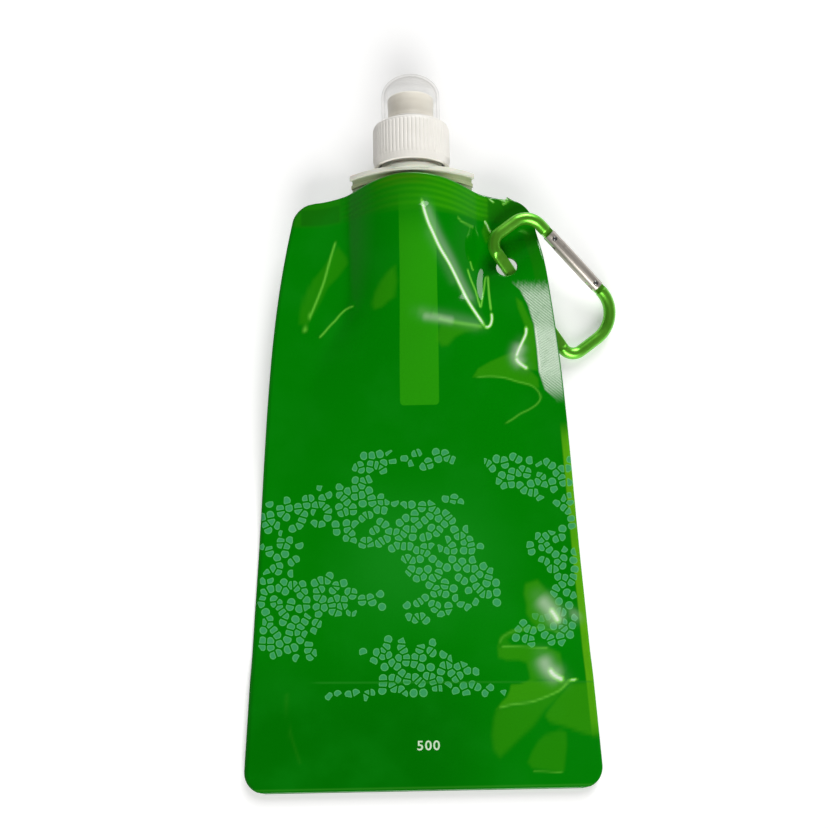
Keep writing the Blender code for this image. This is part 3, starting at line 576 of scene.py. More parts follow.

# Points, rise, width to the left and right of the run, painted highlight on the crest, its
# half width.
RIDGES = [
    (LONG_FOLD, 0.8, 2.2, 5.5, 0.0, 0.6),
    ([(24.2, 164.6), (25.2, 163.3), (26.2, 163.0), (27.4, 164.1), (27.9, 166.2), (27.6, 169.0),
      (27.2, 173.0), (27.0, 176.8), (27.0, 182.5)], 0.3, 1.2, 1.2, 0.0, 0.6),
    ([(19.4, 185.2), (20.7, 180.8), (22.1, 176.9), (23.0, 173.0),
      (23.8, 169.6)], 0.1, 1.0, 1.2, 0.38, 0.32),
    ([(23.8, 169.6), (24.5, 173.1), (25.4, 177.8), (26.1, 181.8),
      (27.0, 182.5)], 0.08, 1.0, 1.0, 0.36, 0.32),
    ([(20.6, 187.9), (21.3, 185.2), (22.0, 184.6)], 0.15, 0.8, 0.8, 0.3, 0.32),
    ([(40.3, 163.4), (40.3, 160.9), (38.7, 157.7), (37.2, 154.4), (36.4, 152.3), (37.1, 150.9),
      (38.9, 149.4), (41.5, 147.9), (43.2, 146.5)], 0.5, 3.0, 2.2, 0.0, 0.6),
    ([(20.5, 144.9), (26.7, 145.4), (32.2, 145.0), (37.0, 143.7), (41.4, 142.6), (43.9, 140.7),
      (44.9, 138.9), (44.9, 137.2), (43.4, 135.4), (40.5, 133.6), (37.5, 132.2), (34.9, 130.4),
      (31.0, 128.2)], 0.3, 1.4, 2.6, 0.17, 0.4),
    ([(5.5, 167.8), (9.0, 166.3), (14.4, 164.6), (19.8, 163.6),
      (24.5, 163.4)], 0.3, 2.0, 1.6, 0.1, 0.8),
    ([(-28.0, 196.8), (-28.9, 194.1), (-30.1, 190.5), (-31.4, 185.9), (-32.7, 181.3),
      (-34.4, 176.7), (-36.5, 171.7), (-38.6, 166.8), (-40.4, 161.9)], 0.3, 1.6, 3.5, 0.24, 0.48),
    ([(-21.5, 171.8), (-24.5, 171.0), (-27.0, 169.0), (-28.7, 167.0), (-30.8, 165.0),
      (-33.0, 162.5), (-35.0, 160.5)], 0.25, 1.2, 1.8, 0.24, 0.42),
    ([(16.0, 200.2), (17.5, 199.1), (20.1, 198.8), (22.4, 198.8)], 0.1, 0.8, 0.8, 0.2, 0.4),
    ([(28.2, 210.2), (28.9, 209.8), (30.0, 209.2)], 0.15, 0.8, 0.8, 0.6, 0.35),
    ([(32.2, 210.7), (34.1, 210.6), (35.2, 211.1)], 0.15, 0.8, 0.8, 0.6, 0.35),
    ([(32.9, 209.0), (34.4, 209.9), (35.2, 211.1)], 0.15, 0.8, 0.8, 0.55, 0.35),
    ([(26.2, 202.0), (27.2, 200.8), (27.9, 199.3), (28.7, 198.4)], 0.2, 0.8, 0.8, 0.8, 0.36),
    ([(26.5, 27.6), (28.7, 28.4), (32.9, 29.2), (38.3, 29.8), (41.9, 30.8), (45.5, 32.1),
      (49.1, 33.8), (51.3, 35.8), (53.1, 37.2)], 0.25, 1.4, 1.2, 0.2, 0.5),
    ([(38.2, 6.0), (42.8, 5.9), (48.0, 5.6), (49.5, 6.1)], 0.1, 0.8, 0.8, 0.16, 0.35),
    ([(28.2, 49.6), (28.4, 51.2), (29.8, 53.0), (33.7, 54.8), (38.0, 55.4), (42.8, 55.5),
      (48.1, 54.5), (50.0, 53.0)], 0.2, 1.2, 1.6, 0.12, 0.6),
    ([(28.2, 49.3), (33.0, 49.2), (40.2, 48.8), (45.9, 48.4)], 0.2, 1.0, 1.4, 0.18, 0.45),
    ([(-48.3, 35.5), (-47.0, 22.0), (-43.0, 9.0)], 0.15, 2.0, 1.2, 0.04, 0.8),
]

# The brightest crests and the sheen beside them, as painted highlights: points, mark, half
# width. From SOFT_FROM on, a sheen is a soft painted glow without a core.
SHEENS = [
    (LONG_FOLD, 1.0, 0.5),
    ([(25.2, 163.3), (26.2, 163.0), (27.4, 164.1), (27.9, 166.2), (27.7, 168.0)], 0.85, 0.42),
    ([(27.6, 169.0), (27.2, 173.0), (27.0, 176.8), (27.0, 182.5)], 0.4, 0.34),
    ([(4.6, 201.5), (8.5, 194.2), (13.6, 186.8), (18.0, 177.8), (20.8, 171.8)], 0.36, 1.6),
    ([(5.2, 196.0), (10.8, 187.2), (15.6, 178.0)], 0.1, 2.0),
    ([(2.4, 166.6), (8.0, 165.7), (14.5, 164.6)], 0.55, 1.5),
    ([(0.5, 168.2), (7.0, 166.6), (24.0, 163.4)], 0.14, 2.2),
    ([(8.0, 165.4), (14.0, 164.0), (19.0, 163.4), (24.6, 163.0)], 0.2, 0.8),
    ([(40.3, 163.4), (40.2, 160.9), (38.7, 157.7), (37.2, 154.6), (36.5, 152.6)], 0.9, 0.5),
    ([(36.4, 152.4), (37.1, 150.9), (38.9, 149.4), (40.6, 148.3)], 0.88, 0.6),
    ([(38.6, 158.0), (36.7, 152.6), (39.4, 149.4)], 0.8, 2.1),
    ([(46.6, 62.4), (48.2, 60.2), (49.8, 57.4)], 0.8, 0.9),
    ([(42.5, 67.0), (47.0, 61.6), (50.6, 56.4)], 0.8, 2.7),
    ([(57.1, 61.9), (55.0, 59.5), (53.6, 58.6)], 0.34, 2.6),
    ([(45.6, 41.4), (46.6, 39.6), (48.4, 38.2), (50.6, 37.2)], 0.86, 0.9),
    ([(43.0, 46.5), (45.2, 41.2), (50.2, 37.6)], 0.8, 2.7),
    ([(52.4, 37.4), (53.8, 37.0), (55.3, 37.5)], 0.7, 0.4),
]

# Lighter facets, painted as reflection: outline, how light the painted reflection is (1 is the
# lighter green), softness of its edge.
FACETS = [
    ([(26.0, 162.8), (19.8, 163.3), (14.4, 164.1), (9.0, 166.3), (5.5, 167.8), (1.3, 169.3),
      (3.7, 164.9), (9.0, 163.0), (8.2, 160.5), (7.8, 157.7), (9.5, 155.7), (11.7, 156.0),
      (14.3, 158.9), (17.9, 160.7), (22.7, 161.8)], 0.5, 2.0),
    ([(36.8, 173.6), (39.0, 172.2), (41.1, 167.6), (42.9, 164.1), (43.8, 156.9), (44.0, 147.9),
      (41.5, 147.9), (37.9, 150.1), (36.4, 152.3), (37.2, 155.2), (39.1, 158.7), (40.3, 163.0),
      (38.9, 166.6), (37.5, 170.1)], 0.6, 1.2),
    ([(20.5, 145.1), (22.4, 148.0), (26.8, 150.6), (31.7, 152.9), (35.4, 154.5), (36.4, 151.6),
      (39.3, 149.0), (42.5, 146.8), (44.3, 145.0), (44.6, 141.5), (41.4, 142.2), (35.9, 143.7),
      (32.2, 145.0), (26.7, 145.4)], 0.55, 1.0),
    ([(-27.6, 194.0), (-24.3, 189.8), (-23.9, 187.8), (-27.7, 182.9), (-31.5, 179.1),
      (-34.4, 173.3), (-37.8, 167.6), (-39.9, 165.2), (-41.5, 166.1), (-41.7, 170.1),
      (-39.8, 176.0), (-36.8, 181.8), (-33.0, 186.4), (-30.5, 190.1)], 0.32, 1.8),
    ([(-6.8, 184.3), (-9.3, 182.4), (-11.8, 179.4), (-14.0, 175.6), (-15.1, 171.7),
      (-14.5, 169.6), (-11.6, 170.2), (-9.5, 172.0), (-7.1, 173.5), (-6.1, 179.0)], 0.45, 2.0),
    ([(25.3, 198.2), (26.5, 201.4), (28.3, 198.7), (28.6, 196.0), (26.7, 194.8)], 0.5, 1.2),
    ([(31.7, 35.8), (34.9, 36.1), (38.6, 37.4), (43.9, 37.0), (48.5, 36.6), (52.8, 36.8),
      (50.9, 34.4), (48.3, 32.7), (43.7, 31.4), (38.3, 30.2), (33.0, 29.6), (28.7, 28.6),
      (26.5, 27.6), (28.0, 29.7), (30.2, 31.7), (31.3, 34.1)], 0.85, 0.9),
    ([(26.5, 27.6), (38.3, 29.8), (47.3, 32.4), (52.0, 35.8), (47.5, 30.3), (43.5, 27.0),
      (39.1, 21.5), (34.3, 17.5), (30.0, 13.5), (27.1, 11.1), (25.0, 13.6), (24.5, 18.7),
      (25.4, 24.5)], 0.42, 2.4),
    ([(52.7, 35.8), (61.3, 36.3), (62.1, 30.1), (62.5, 23.8), (62.7, 18.7), (59.8, 18.0),
      (55.6, 19.2), (51.1, 21.0), (45.1, 22.8), (43.5, 25.2), (47.5, 30.3)], 0.55, 1.6),
    ([(43.2, 18.4), (48.6, 20.0), (50.7, 19.2), (50.8, 14.8), (49.5, 6.3), (48.0, 5.6),
      (43.8, 6.4), (38.2, 7.2), (36.9, 9.2), (38.4, 12.6), (40.6, 16.0)], 0.36, 1.6),
    ([(38.1, 71.3), (42.5, 72.6), (45.7, 68.7), (49.9, 63.9), (50.7, 59.6), (50.1, 57.3),
      (45.3, 55.9), (41.9, 56.0), (40.0, 57.5), (38.2, 60.8), (38.3, 64.1),
      (37.5, 67.9)], 0.6, 1.8),
    ([(27.4, 49.3), (45.9, 48.4), (49.7, 46.5), (50.4, 41.8), (51.1, 37.7), (38.8, 37.0),
      (38.4, 39.8), (37.6, 43.5), (34.8, 44.5), (30.5, 44.6), (27.6, 45.6)], 0.58, 1.4),
    ([(27.4, 49.8), (28.3, 53.0), (32.7, 55.3), (38.5, 55.9), (39.0, 55.2), (33.1, 53.4),
      (30.7, 51.6), (33.0, 49.2)], 0.3, 0.9),
]


def folds(x, height):
    """Rise of the front film, painted highlight on its crests, painted glow beside them and
    painted reflection on its facets.
    """
    swell = SWELL * np.sin(x / SWELL_ACROSS + height / SWELL_UP)
    rise = swell * smooth((height - 40) / 20)
    strain, glow, tone = np.zeros((3,) + x.shape)
    for entry in RIDGES:
        up, crest = ridge(x, height, *entry)
        rise += up
        strain = np.maximum(strain, crest)
    # Each sheen is a painted highlight: a narrow one joins the crest highlight, a wide one the glow.
    for points, mark, line in SHEENS:
        kind = glow if line > SOFT_FROM else strain
        kind[:] = np.maximum(kind, sheen(x, height, points, mark, line))
    for outline, light, soft in FACETS:
        tone = np.maximum(tone, light * inside(x, height, outline, soft))
    return rise, strain, glow, tone


print("ridges:", len(RIDGES), " sheens:", len(SHEENS), " facets:", len(FACETS))

# %% [markdown]
# The film's rows and columns are spaced closely where the folds are and widely where the film
# is flat. The grid comes from one operator, and each of its points is then put in its place.
# Faces inside the carabiner's hole are taken out, and the points round it are drawn onto a
# true circle. A Boolean could cut the hole too, but it would leave long thin faces that shade
# badly on a glossy film.

# %% Rows, columns and the hole
ARCH_FROM = 185.0


def spaced(*stations):
    """Numbers from (number, spacing) pairs: each spacing holds up to the next number."""
    out = [stations[0][0]]
    for (low, gap), (high, _) in zip(stations, stations[1:]):
        steps = max(1, round((high - low) / gap))
        out += [low + (high - low) * k / steps for k in range(1, steps + 1)]
    return np.array(out)


def film_places(x, height, way, proud):
    """World places, in metres, of points on a film's outer face.

    way is 1 for the front film and -1 for the back one."""
    rise = smooth((height - ARCH_FROM) / (LENGTH - ARCH_FROM))
    y = height + arch(x) * rise
    z = middle(x, y) + way * (half_gap(x, y) + FILM + proud)
    return np.stack([x, y - DATUM, z], axis=1) * MM


def add_grid(bm, columns, rows):
    """Fills bm with a grid. Gives its points' places from -1 to 1, their columns and rows."""
    bmesh.ops.create_grid(bm, x_segments=columns - 1, y_segments=rows - 1, size=1.0)
    spread = np.array([v.co[:2] for v in bm.verts])
    column, row = np.rint((spread + 1) / 2 * (columns - 1, rows - 1)).astype(int).T
    return spread, column, row


def punch_hole(bm):
    """Takes the faces inside the hole out and rounds its edge."""
    centre = Vector((*HOLE, 0))
    gone = [f for f in bm.faces if (f.calc_center_median() - centre).length < HOLE_RADIUS]
    bmesh.ops.delete(bm, geom=gone, context="FACES")
    bm.verts.index_update()
    for vert in bm.verts:
        away = vert.co - centre
        if vert.is_boundary and away.length < HOLE_RADIUS + 2:
            vert.co = centre + away.normalized() * HOLE_RADIUS


print("a row every 0.5, then every 1:", spaced((0.0, 0.5), (1.0, 1.0), (3.0, 1.0)))

# %% [markdown]
# The finish has to know where on the film it is, also where the film bends. So each point
# keeps its place on the flat film as its UV, one unit to 250 mm, and beside it its shares of
# painted crest highlight, painted glow and painted facet reflection. A Solidify modifier then
# gives the sheet its wall.

# %% The two films
# Shares of painted crest highlight, painted glow and painted facet reflection for each point.
FILM_MARKS = ("strain", "glow", "tone")
UV_SPAN = 250.0
UV_SHIFT = 75.0
CALM_RADIUS, CALM_RUN = 9.0, 8.0


def write_uv(bm, flat):
    """Keeps each point's place on the flat film as its UV."""
    uv = bm.loops.layers.uv.new("film")
    for face in bm.faces:
        for loop in face.loops:
            across, up = flat[loop.vert.index]
            loop[uv].uv = ((across + UV_SHIFT) / UV_SPAN, up / UV_SPAN)


def write_marks(bm, shares):
    """Keeps each point's shares of painted crest highlight, painted glow and painted facet
    reflection.
    """
    for key in FILM_MARKS:
        bm.verts.layers.float.new(key)
    marks = [bm.verts.layers.float[key] for key in FILM_MARKS]
    for vert, here in zip(bm.verts, zip(*shares)):
        for mark, share in zip(marks, here):
            vert[mark] = share


def evaluated(obj):
    """The mesh that an object shows, with its modifiers."""
    bpy.context.view_layer.update()
    seen = obj.evaluated_get(bpy.context.evaluated_depsgraph_get())
    return bpy.data.meshes.new_from_object(seen)


def finish_modifiers(obj):
    """Makes an object's modifiers part of its mesh."""
    mesh = evaluated(obj)
    obj.modifiers.clear()
    obj.data = mesh
    return obj


def thicken(sheet, thickness, offset=-1, even=True):
    """Gives a sheet its thickness: inwards from the face that shows, or to both sides at 0."""
    wall = sheet.modifiers.new("thickness", "SOLIDIFY")
    wall.thickness = thickness * MM
    wall.offset = offset
    wall.use_even_offset = even
    return finish_modifiers(sheet)


def make_film(name, rows, columns, way, fold_rule=None):
    """One film as a single sheet: its grid, hole, UV, marks and thickness.

    rows are heights; columns run from -1 at the left edge to 1 at the right one."""
    bm = bmesh.new()
    _, column, row = add_grid(bm, len(columns), len(rows))
    height = rows[row]
    for vert, across, up in zip(bm.verts, columns[column] * half_width(height), height):
        vert.co = (across, up, 0)
    punch_hole(bm)
    flat = np.array([v.co[:2] for v in bm.verts])
    x, height = flat[:, 0], flat[:, 1]
    proud, *shares = fold_rule(x, height) if fold_rule else np.zeros((4,) + x.shape)
    from_hole = np.hypot(x - HOLE[0], height - HOLE[1])
    proud = proud * smooth((from_hole - CALM_RADIUS) / CALM_RUN)
    write_uv(bm, flat)
    write_marks(bm, shares)
    for vert, place in zip(bm.verts, film_places(x, height, way, proud)):
        vert.co = place
    if way < 0:
        bmesh.ops.reverse_faces(bm, faces=bm.faces)
    film = new_object(name, bm)
    film.data.shade_smooth()
    return thicken(film, FILM)


def count(obj):
    """Prints how many triangles a piece has."""
    triangles = sum(len(p.vertices) - 2 for p in obj.data.polygons)
    print(f"{obj.name}: {triangles} triangles")
    return obj


front_rows = spaced((0.0, 0.6), (8.0, 1.2), (26.0, 0.8), (79.0, 3.0), (122.0, 0.55), (204.0, 0.5),
                    (LENGTH, 0.5))
front_columns = spaced((-1.0, 0.03), (-0.75, 0.0115), (-0.35, 0.024), (0.0, 0.0082), (0.84, 0.016),
                       (1.0, 0.016))
front_film = count(make_film("front_film", front_rows, front_columns, 1, folds))
back_rows = spaced((0.0, 1.0), (8.0, 3.0), (60.0, 0.8), (79.0, 3.0), (118.0, 2.0), (168.0, 1.0),
                   (204.0, 0.8), (LENGTH, 0.5))
back_film = count(make_film("back_film", back_rows, np.linspace(-1.0, 1.0, 91), -1))

# %% [markdown]
# ## The bottom pleat
#
# Between the films lies a third one, folded once like an upside-down V. When water fills the
# bottle the pleat opens and becomes its base. It is one sheet: up its back leaf, round the
# fold and down its front leaf.

# %% Gusset
GUSSET_AIR = 0.3
GUSSET_BEND = 0.6
GUSSET_START = 0.5
GUSSET_INSET = 0.5
GUSSET_COLUMNS = 61


def gusset_profile():
    """Heights and Z of the pleat's sheet."""
    low = FILM + GUSSET_AIR + GUSSET_FILM / 2
    bend = (GUSSET_BEND + GUSSET_FILM) / 2
    top = GUSSET_FOLD - bend - GUSSET_FILM / 2
    rise = [GUSSET_START + BOTTOM_CORNER * (1 - math.cos(math.pi / 2 * k / 8)) for k in range(9)]
    rise += list(np.linspace(rise[-1], top, 12))[1:]
    turn = [math.pi * k / 12 for k in range(1, 12)]
    around = [(top + bend * math.sin(t), low + bend * (1 - math.cos(t))) for t in turn]
    return [(h, low) for h in rise] + around + [(h, low + 2 * bend) for h in reversed(rise)]


def make_gusset():
    profile = np.array(gusset_profile())
    bm = bmesh.new()
    spread, _, row = add_grid(bm, GUSSET_COLUMNS, len(profile))
    height, z = profile[row].T
    x = spread[:, 0] * (half_width(height) - GUSSET_INSET)
    write_uv(bm, np.stack([x, height], axis=1))
    for vert, across, up, out in zip(bm.verts, x, height, z):
        vert.co = (across * MM, (up - DATUM) * MM, out * MM)
    sheet = new_object("gusset", bm)
    sheet.data.shade_smooth()
    return thicken(sheet, GUSSET_FILM, offset=0, even=False)


gusset = count(make_gusset())

# %% [markdown]
# ## The film's finish
#
# The film is a laminate: coloured ink lies under a clear, glossy outer layer, which is a coat
# over a satin base in Blender's terms. The finish reads the film's own UV. Several things show
# in it: a paler window down the front, the heat-sealed margins, fine weld lines over the
# spout, a diamond pattern where the corner was sealed again, the pleat behind the lower part,
# and a printed field of small rounded pebbles in drifts across the lower front. Painted light
# comes on top: highlights and glows along the folds, and reflection on the facets between them,
# on the right half of the weld and on the diamond pattern. Each is a mask times a colour, laid
# over what is there already.

# %% The film's own greens
DEEP_GREEN = colour(0, 126, 0)
LOW_GREEN = colour(0, 112, 0)
CENTRE_GREEN = colour(16, 136, 22)
RIGHT_GREEN = colour(2, 134, 4)
SEAL_GREEN = colour(28, 122, 6)
EDGE_GREEN = colour(88, 172, 14)


def film_place(paint):
    """Distance across the film and height up it, in mm, from the film's UV."""
    parts = paint.parts(paint.node("ShaderNodeUVMap", {"uv_map": "film"}))
    return parts.output("X") * UV_SPAN - UV_SHIFT, parts.output("Y") * UV_SPAN


def half_width_at(height):
    """The outline's half width as shader sums, without its corners."""
    t = height / LENGTH
    return 0.5 * (BOTTOM_WIDTH - SIDE_TAPER * t - SHOULDER_DRAW * t ** 5.0)


def ground_layers(paint, x, height, outer):
    """The film's own greens: its middle, its seals, its right half and its right edge."""
    shoulder = height.step(201.0, 203.5) * abs(x).step(25.5, 27.0)
    side_seal = (outer - x).step(5.4, 4.2) * height.within(150.0, 203.0, 8.0)
    return [
        (x.within(-24.0, 26.0, 16.0) * height.within(62.0, 100.0, 18.0), CENTRE_GREEN),
        (shoulder * 0.8, SEAL_GREEN),
        (side_seal * 0.45, SEAL_GREEN),
        (x.step(0.0, 40.0) * height.step(75.0, 50.0) * 0.7, RIGHT_GREEN),
        ((outer - x).step(3.0, 2.3) * height.within(20.0, 126.0, 4.0), EDGE_GREEN),
    ]


print("half the width at the top:", round(float(half_width_at(LENGTH)), 1), "mm")

# %% [markdown]
# Over the spout both films are welded to its foot, and the welding bars press fine lines into
# them. The window is a stripe where the film has less ink. Both are plain bands with soft
# edges, so no picture is needed for them.

# %% Weld and window
WELD_LEFT = colour(18, 122, 4)
# The weld's right half is painted lighter, as reflection.
WELD_RIGHT_REFLECTED = colour(50, 156, 4)
WELD_TOP = colour(66, 126, 4)
WELD_DARK = colour(8, 92, 8)
WINDOW_GREEN = colour(42, 158, 10)
WELD_FOOT, WELD_BOW, WELD_PITCH = 200.4, 0.003, 1.9
WINDOW_AT, WINDOW_HALF, WINDOW_FOOT, WINDOW_CORNER = 1.2, 7.0, 135.5, 1.6


def weld(paint, x, height):
    """The welded band over the spout: where it is, its pressed lines, and its green."""
    foot = height - WELD_FOOT - abs(x) * abs(x) * WELD_BOW
    where = foot.step(-1.2, 1.2) * x.within(-26.5, 27.6, 0.6)
    lines = (height * (2 * math.pi / WELD_PITCH)).math("SINE")
    # Lighter towards the right half: painted reflection.
    green = paint.mix(x.step(-18.0, 14.0), WELD_LEFT, WELD_RIGHT_REFLECTED)
    crown = x.within(-10.0, 4.0, 8.0) * height.step(206.0, 210.0)
    return where, lines, paint.mix(crown, green, WELD_TOP)


def window(x, height):
    """The clear stripe down the front, with rounded corners at its foot."""
    drift = height.step(136.0, 189.0) * 0.8
    stripe = (x - WINDOW_AT - drift).within(-WINDOW_HALF, WINDOW_HALF, 0.2)
    aside = (abs(x - WINDOW_AT) - (WINDOW_HALF - WINDOW_CORNER)).math("MAXIMUM", 0.0)
    below = (WINDOW_FOOT + WINDOW_CORNER - height).math("MAXIMUM", 0.0)
    corner = (aside ** 2.0 + below ** 2.0).step(3.2, 2.4)
    foot = height.step(WINDOW_FOOT - 0.2, WINDOW_FOOT + 0.2)
    return stripe * foot * height.step(208.0, 190.0) * corner


print("the window is", 2 * WINDOW_HALF, "mm wide")

# %% [markdown]
# The print is a field of pebbles. Voronoi cells give the pebbles, and a slow noise decides by
# each cell's middle whether it is printed, so that no pebble is cut in two.

# %% Pebbles
PRINT_INK = colour(62, 162, 100)
PRINT_RIM = colour(92, 190, 112)
PRINT_LOW, PRINT_HIGH, PRINT_HALF = 33.0, 119.5, 57.0
PEBBLE_SCALE, DRIFT_SCALE = 0.33, 0.023
DRIFT_FROM, LONE_FROM = 0.471, 0.08


def pebbles(paint, x, height):
    """Rounded pebbles in drifts: 1 where there is ink, and 1 in each pebble's middle."""
    place = paint.flat(x, height)
    wobble = paint.noise(place, 0.11, 1.0).output("Color")
    place = paint.node("ShaderNodeVectorMath", {"operation": "ADD"}, {0: place, 1: wobble})
    shape = {"Vector": place, "Scale": PEBBLE_SCALE, "Randomness": 0.95}
    flat = {"voronoi_dimensions": "2D"}
    cell = paint.node("ShaderNodeTexVoronoi", flat, shape)
    edge = paint.node("ShaderNodeTexVoronoi", {**flat, "feature": "DISTANCE_TO_EDGE"}, shape)
    ink = edge.step(0.09, 0.13) * cell.step(0.50, 0.45)
    core = edge.step(0.13, 0.22) * cell.step(0.42, 0.34)
    centre = paint.parts(cell.output("Position"))
    cx, cy = centre.output("X"), centre.output("Y")
    drift = paint.noise(paint.flat(cx * 0.9, cy * 1.7), DRIFT_SCALE, 1.5)
    lone = paint.parts(cell.output("Color"))
    field = cy.above(PRINT_LOW) * (PRINT_HIGH - cy).above(0.0) * (PRINT_HALF - abs(cx)).above(0.0)
    return ink * drift.above(DRIFT_FROM) * field * lone.above(LONE_FROM), core


print("the print is", PRINT_HIGH - PRINT_LOW, "mm high")

# %% [markdown]
# Under the hole the films were sealed a second time between woven belts, which pressed the
# weave's pattern into the film. The pattern's whitish look, paler in its middle, is painted
# reflection, and a painted highlight runs along the strip's left edge. Two sine waves that cross
# the film at a slant make the threads, and the strip's left edge follows a ramp whose stops are
# its measured places.

# %% Re-sealed strip
# The white of the painted reflection on the re-sealed strip.
HATCH_REFLECTION = colour(214, 236, 212)
HATCH_FINENESS = 7.6
# The strip's left edge, as height and distance across.
STRIP_EDGE = [(137.1, 50.7), (140.7, 46.8), (147.2, 44.7), (155.1, 44.1), (164.1, 43.2),
              (171.2, 41.1), (176.4, 38.3), (179.0, 35.5)]


def by_height(paint, height, points, least, most):
    """A number that follows height, through (height, number) points."""
    low, high = points[0][0], points[-1][0]
    stops = [((h - low) / (high - low), grey((v - least) / (most - least))) for h, v in points]
    share = paint.node("ShaderNodeValToRGB", {"stops": stops}, {0: (height - low) / (high - low)})
    return share * (most - least) + least


def resealed_strip(paint, x, height):
    """The strip under the hole: where it is, its woven lines, its painted reflection and the
    painted highlight along its left edge.
    """
    left = by_height(paint, height, STRIP_EDGE, 35.0, 51.0)
    outer = half_width_at(height) - 0.3
    strip = (x - left).step(-0.4, 0.5) * (outer - x).step(-0.2, 0.4)
    ragged = height + paint.noise(paint.flat(x, height * 0.4), 1.4, 2.0) * 4.0
    strip = strip * height.step(135.5, 144.0) * ragged.step(182.5, 176.0)
    across = ((x * 0.62 + height * 0.78) * HATCH_FINENESS).math("SINE") * 0.5 + 0.5
    slant = ((x * 0.50 - height * 0.87) * HATCH_FINENESS).math("SINE") * 0.5 + 0.5
    middle_part = height.within(146.0, 163.0, 3.0)
    thread = across * (1 - middle_part) + slant * middle_part
    # How white the strip is painted, as reflection: paler in the middle.
    pale = middle_part * 0.34 + 0.44 + thread * (0.40 - middle_part * 0.20)
    patch = paint.noise(paint.flat(x, height), 0.35, 3.0).step(0.2, 0.5)
    # A painted highlight along the strip's left edge.
    strip_edge_highlight = (x - left).within(0.1, 0.7, 0.3) * height.within(148.0, 163.0, 2.0)
    return strip, thread, pale * (0.78 + patch * 0.22), strip_edge_highlight


print("the strip is", round(STRIP_EDGE[-1][0] - STRIP_EDGE[0][0], 1), "mm long")

# %% [markdown]
# The layers are now laid over each other in the order in which they came onto the film: the
# ink, the welds, the print, the second seal, and last the folds, which whiten all of it.

# %% Film paint
PLEAT_GREEN = colour(36, 140, 32)
HEM_GREEN = colour(60, 150, 40)
# The lighter green of painted reflection on facets.
FACET_REFLECTION_GREEN = colour(60, 158, 12)
# Painted highlight colours: light green on faint crests, white on bright ones, glows and edges.
CREST_HIGHLIGHT_GREEN = colour(112, 208, 62)
HIGHLIGHT_WHITE = colour(238, 250, 234)
PLEAT_LINE, PLEAT_SLOPE = 37.5, 0.0143


def front_layers(paint, x, height):
    """What only the front film shows, and the woven lines of its strip."""
    ink, core = pebbles(paint, x, height)
    pleat = (height + (x + 36.0) * PLEAT_SLOPE).within(PLEAT_LINE, PLEAT_LINE + 0.7, 0.3)
    strip, thread, pale, strip_edge_highlight = resealed_strip(paint, x, height)
    strain = paint.mark("strain")
    return [
        (window(x, height) * 0.85, WINDOW_GREEN),
        (ink * 0.9, paint.mix(core, PRINT_RIM, PRINT_INK)),
        (pleat * x.within(-38.0, 62.0, 3.0) * 0.5, PLEAT_GREEN),
        (height.within(0.9, 1.5, 0.3) * 0.4, HEM_GREEN),
        # The re-sealed strip's painted reflection.
        (strip * pale, HATCH_REFLECTION),
        # A painted highlight along the strip's left edge.
        (strip_edge_highlight * 0.7, HIGHLIGHT_WHITE),
        # Painted reflection on the lighter facets.
        (paint.mark("tone") * 0.9, FACET_REFLECTION_GREEN),
        # Painted highlight on the crests: light green where faint, white where bright.
        (strain.step(0.0, 0.35), CREST_HIGHLIGHT_GREEN),
        (strain.step(0.30, 0.92), HIGHLIGHT_WHITE),
        # A painted glow beside the brightest crests.
        (paint.mark("glow") * 0.45, HIGHLIGHT_WHITE),
    ], strip * thread


def make_film_paint(name, is_front):
    paint = Paint(name, IOR=1.5)
    x, height = film_place(paint)
    flat = paint.flat(x, height)
    where, lines, weld_green = weld(paint, x, height)
    beside = height.within(202.5, 208.6, 0.6) * x.within(-41.0, -26.8, 0.6)
    layers = ground_layers(paint, x, height, half_width_at(height)) + [
        (where * (lines * 0.22 + 0.72), weld_green),
        (beside * 0.45, WELD_DARK),
        (paint.noise(flat, 0.05, 3.0).step(0.40, 0.75) * 0.3, CENTRE_GREEN),
    ]
    proud = where * lines * 0.5
    if is_front:
        more, woven = front_layers(paint, x, height)
        layers += more
        proud = proud + woven
    base = paint.mix(height.step(60.0, 20.0), DEEP_GREEN, LOW_GREEN)
    for share, tint in layers:
        base = paint.mix(share, base, tint)
    scuff = paint.noise(flat, 0.9, 4.0, 0.6)
    fine = paint.noise(flat, 2.5, 2.0)
    paint.set(
        Base_Color=base,
        Roughness=0.30 + scuff * 0.12,
        Coat_Weight=0.75,
        Coat_Roughness=0.05,
        Specular_IOR_Level=0.0,
        Normal=paint.bump(proud + fine * 0.05, 0.12 * MM),
    )
    return paint.material


film_plain = make_film_paint("film_plain", False)
front_film.data.materials.append(make_film_paint("film_printed", True))
back_film.data.materials.append(film_plain)
gusset.data.materials.append(film_plain)
print("film's finish:", [m.name for m in bpy.data.materials if m.name.startswith("film")])

# %% [markdown]
# The empty pouch folds up over itself a little above the pleat. Each film is one piece here
# and bends as a rounded loop just below that fold. The pleat rides on the lower half.

# %% Put the films on the frame
for film, nodes in (
    (front_film, ("front_film_upper", "front_film_lower")),
    (back_film, ("back_film_upper", "back_film_lower")),
):
    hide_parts(*nodes)
    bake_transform(film, "bottle", "pouch_lower", start=(0, 0.040, 0.0034), end=(0, 0.026, 0.0034))
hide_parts("bottom_gusset")
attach(gusset, "pouch_lower")
print("films on the frame:", [o.name for o in (front_film, back_film, gusset)])

# %% [markdown]
# A small plain number under the print gives the bottle's size. It is ink, a few hundredths of
# a millimetre thick, made as text, turned into a mesh and laid on the film.

# %% Volume number
INK_THICKNESS = 0.05


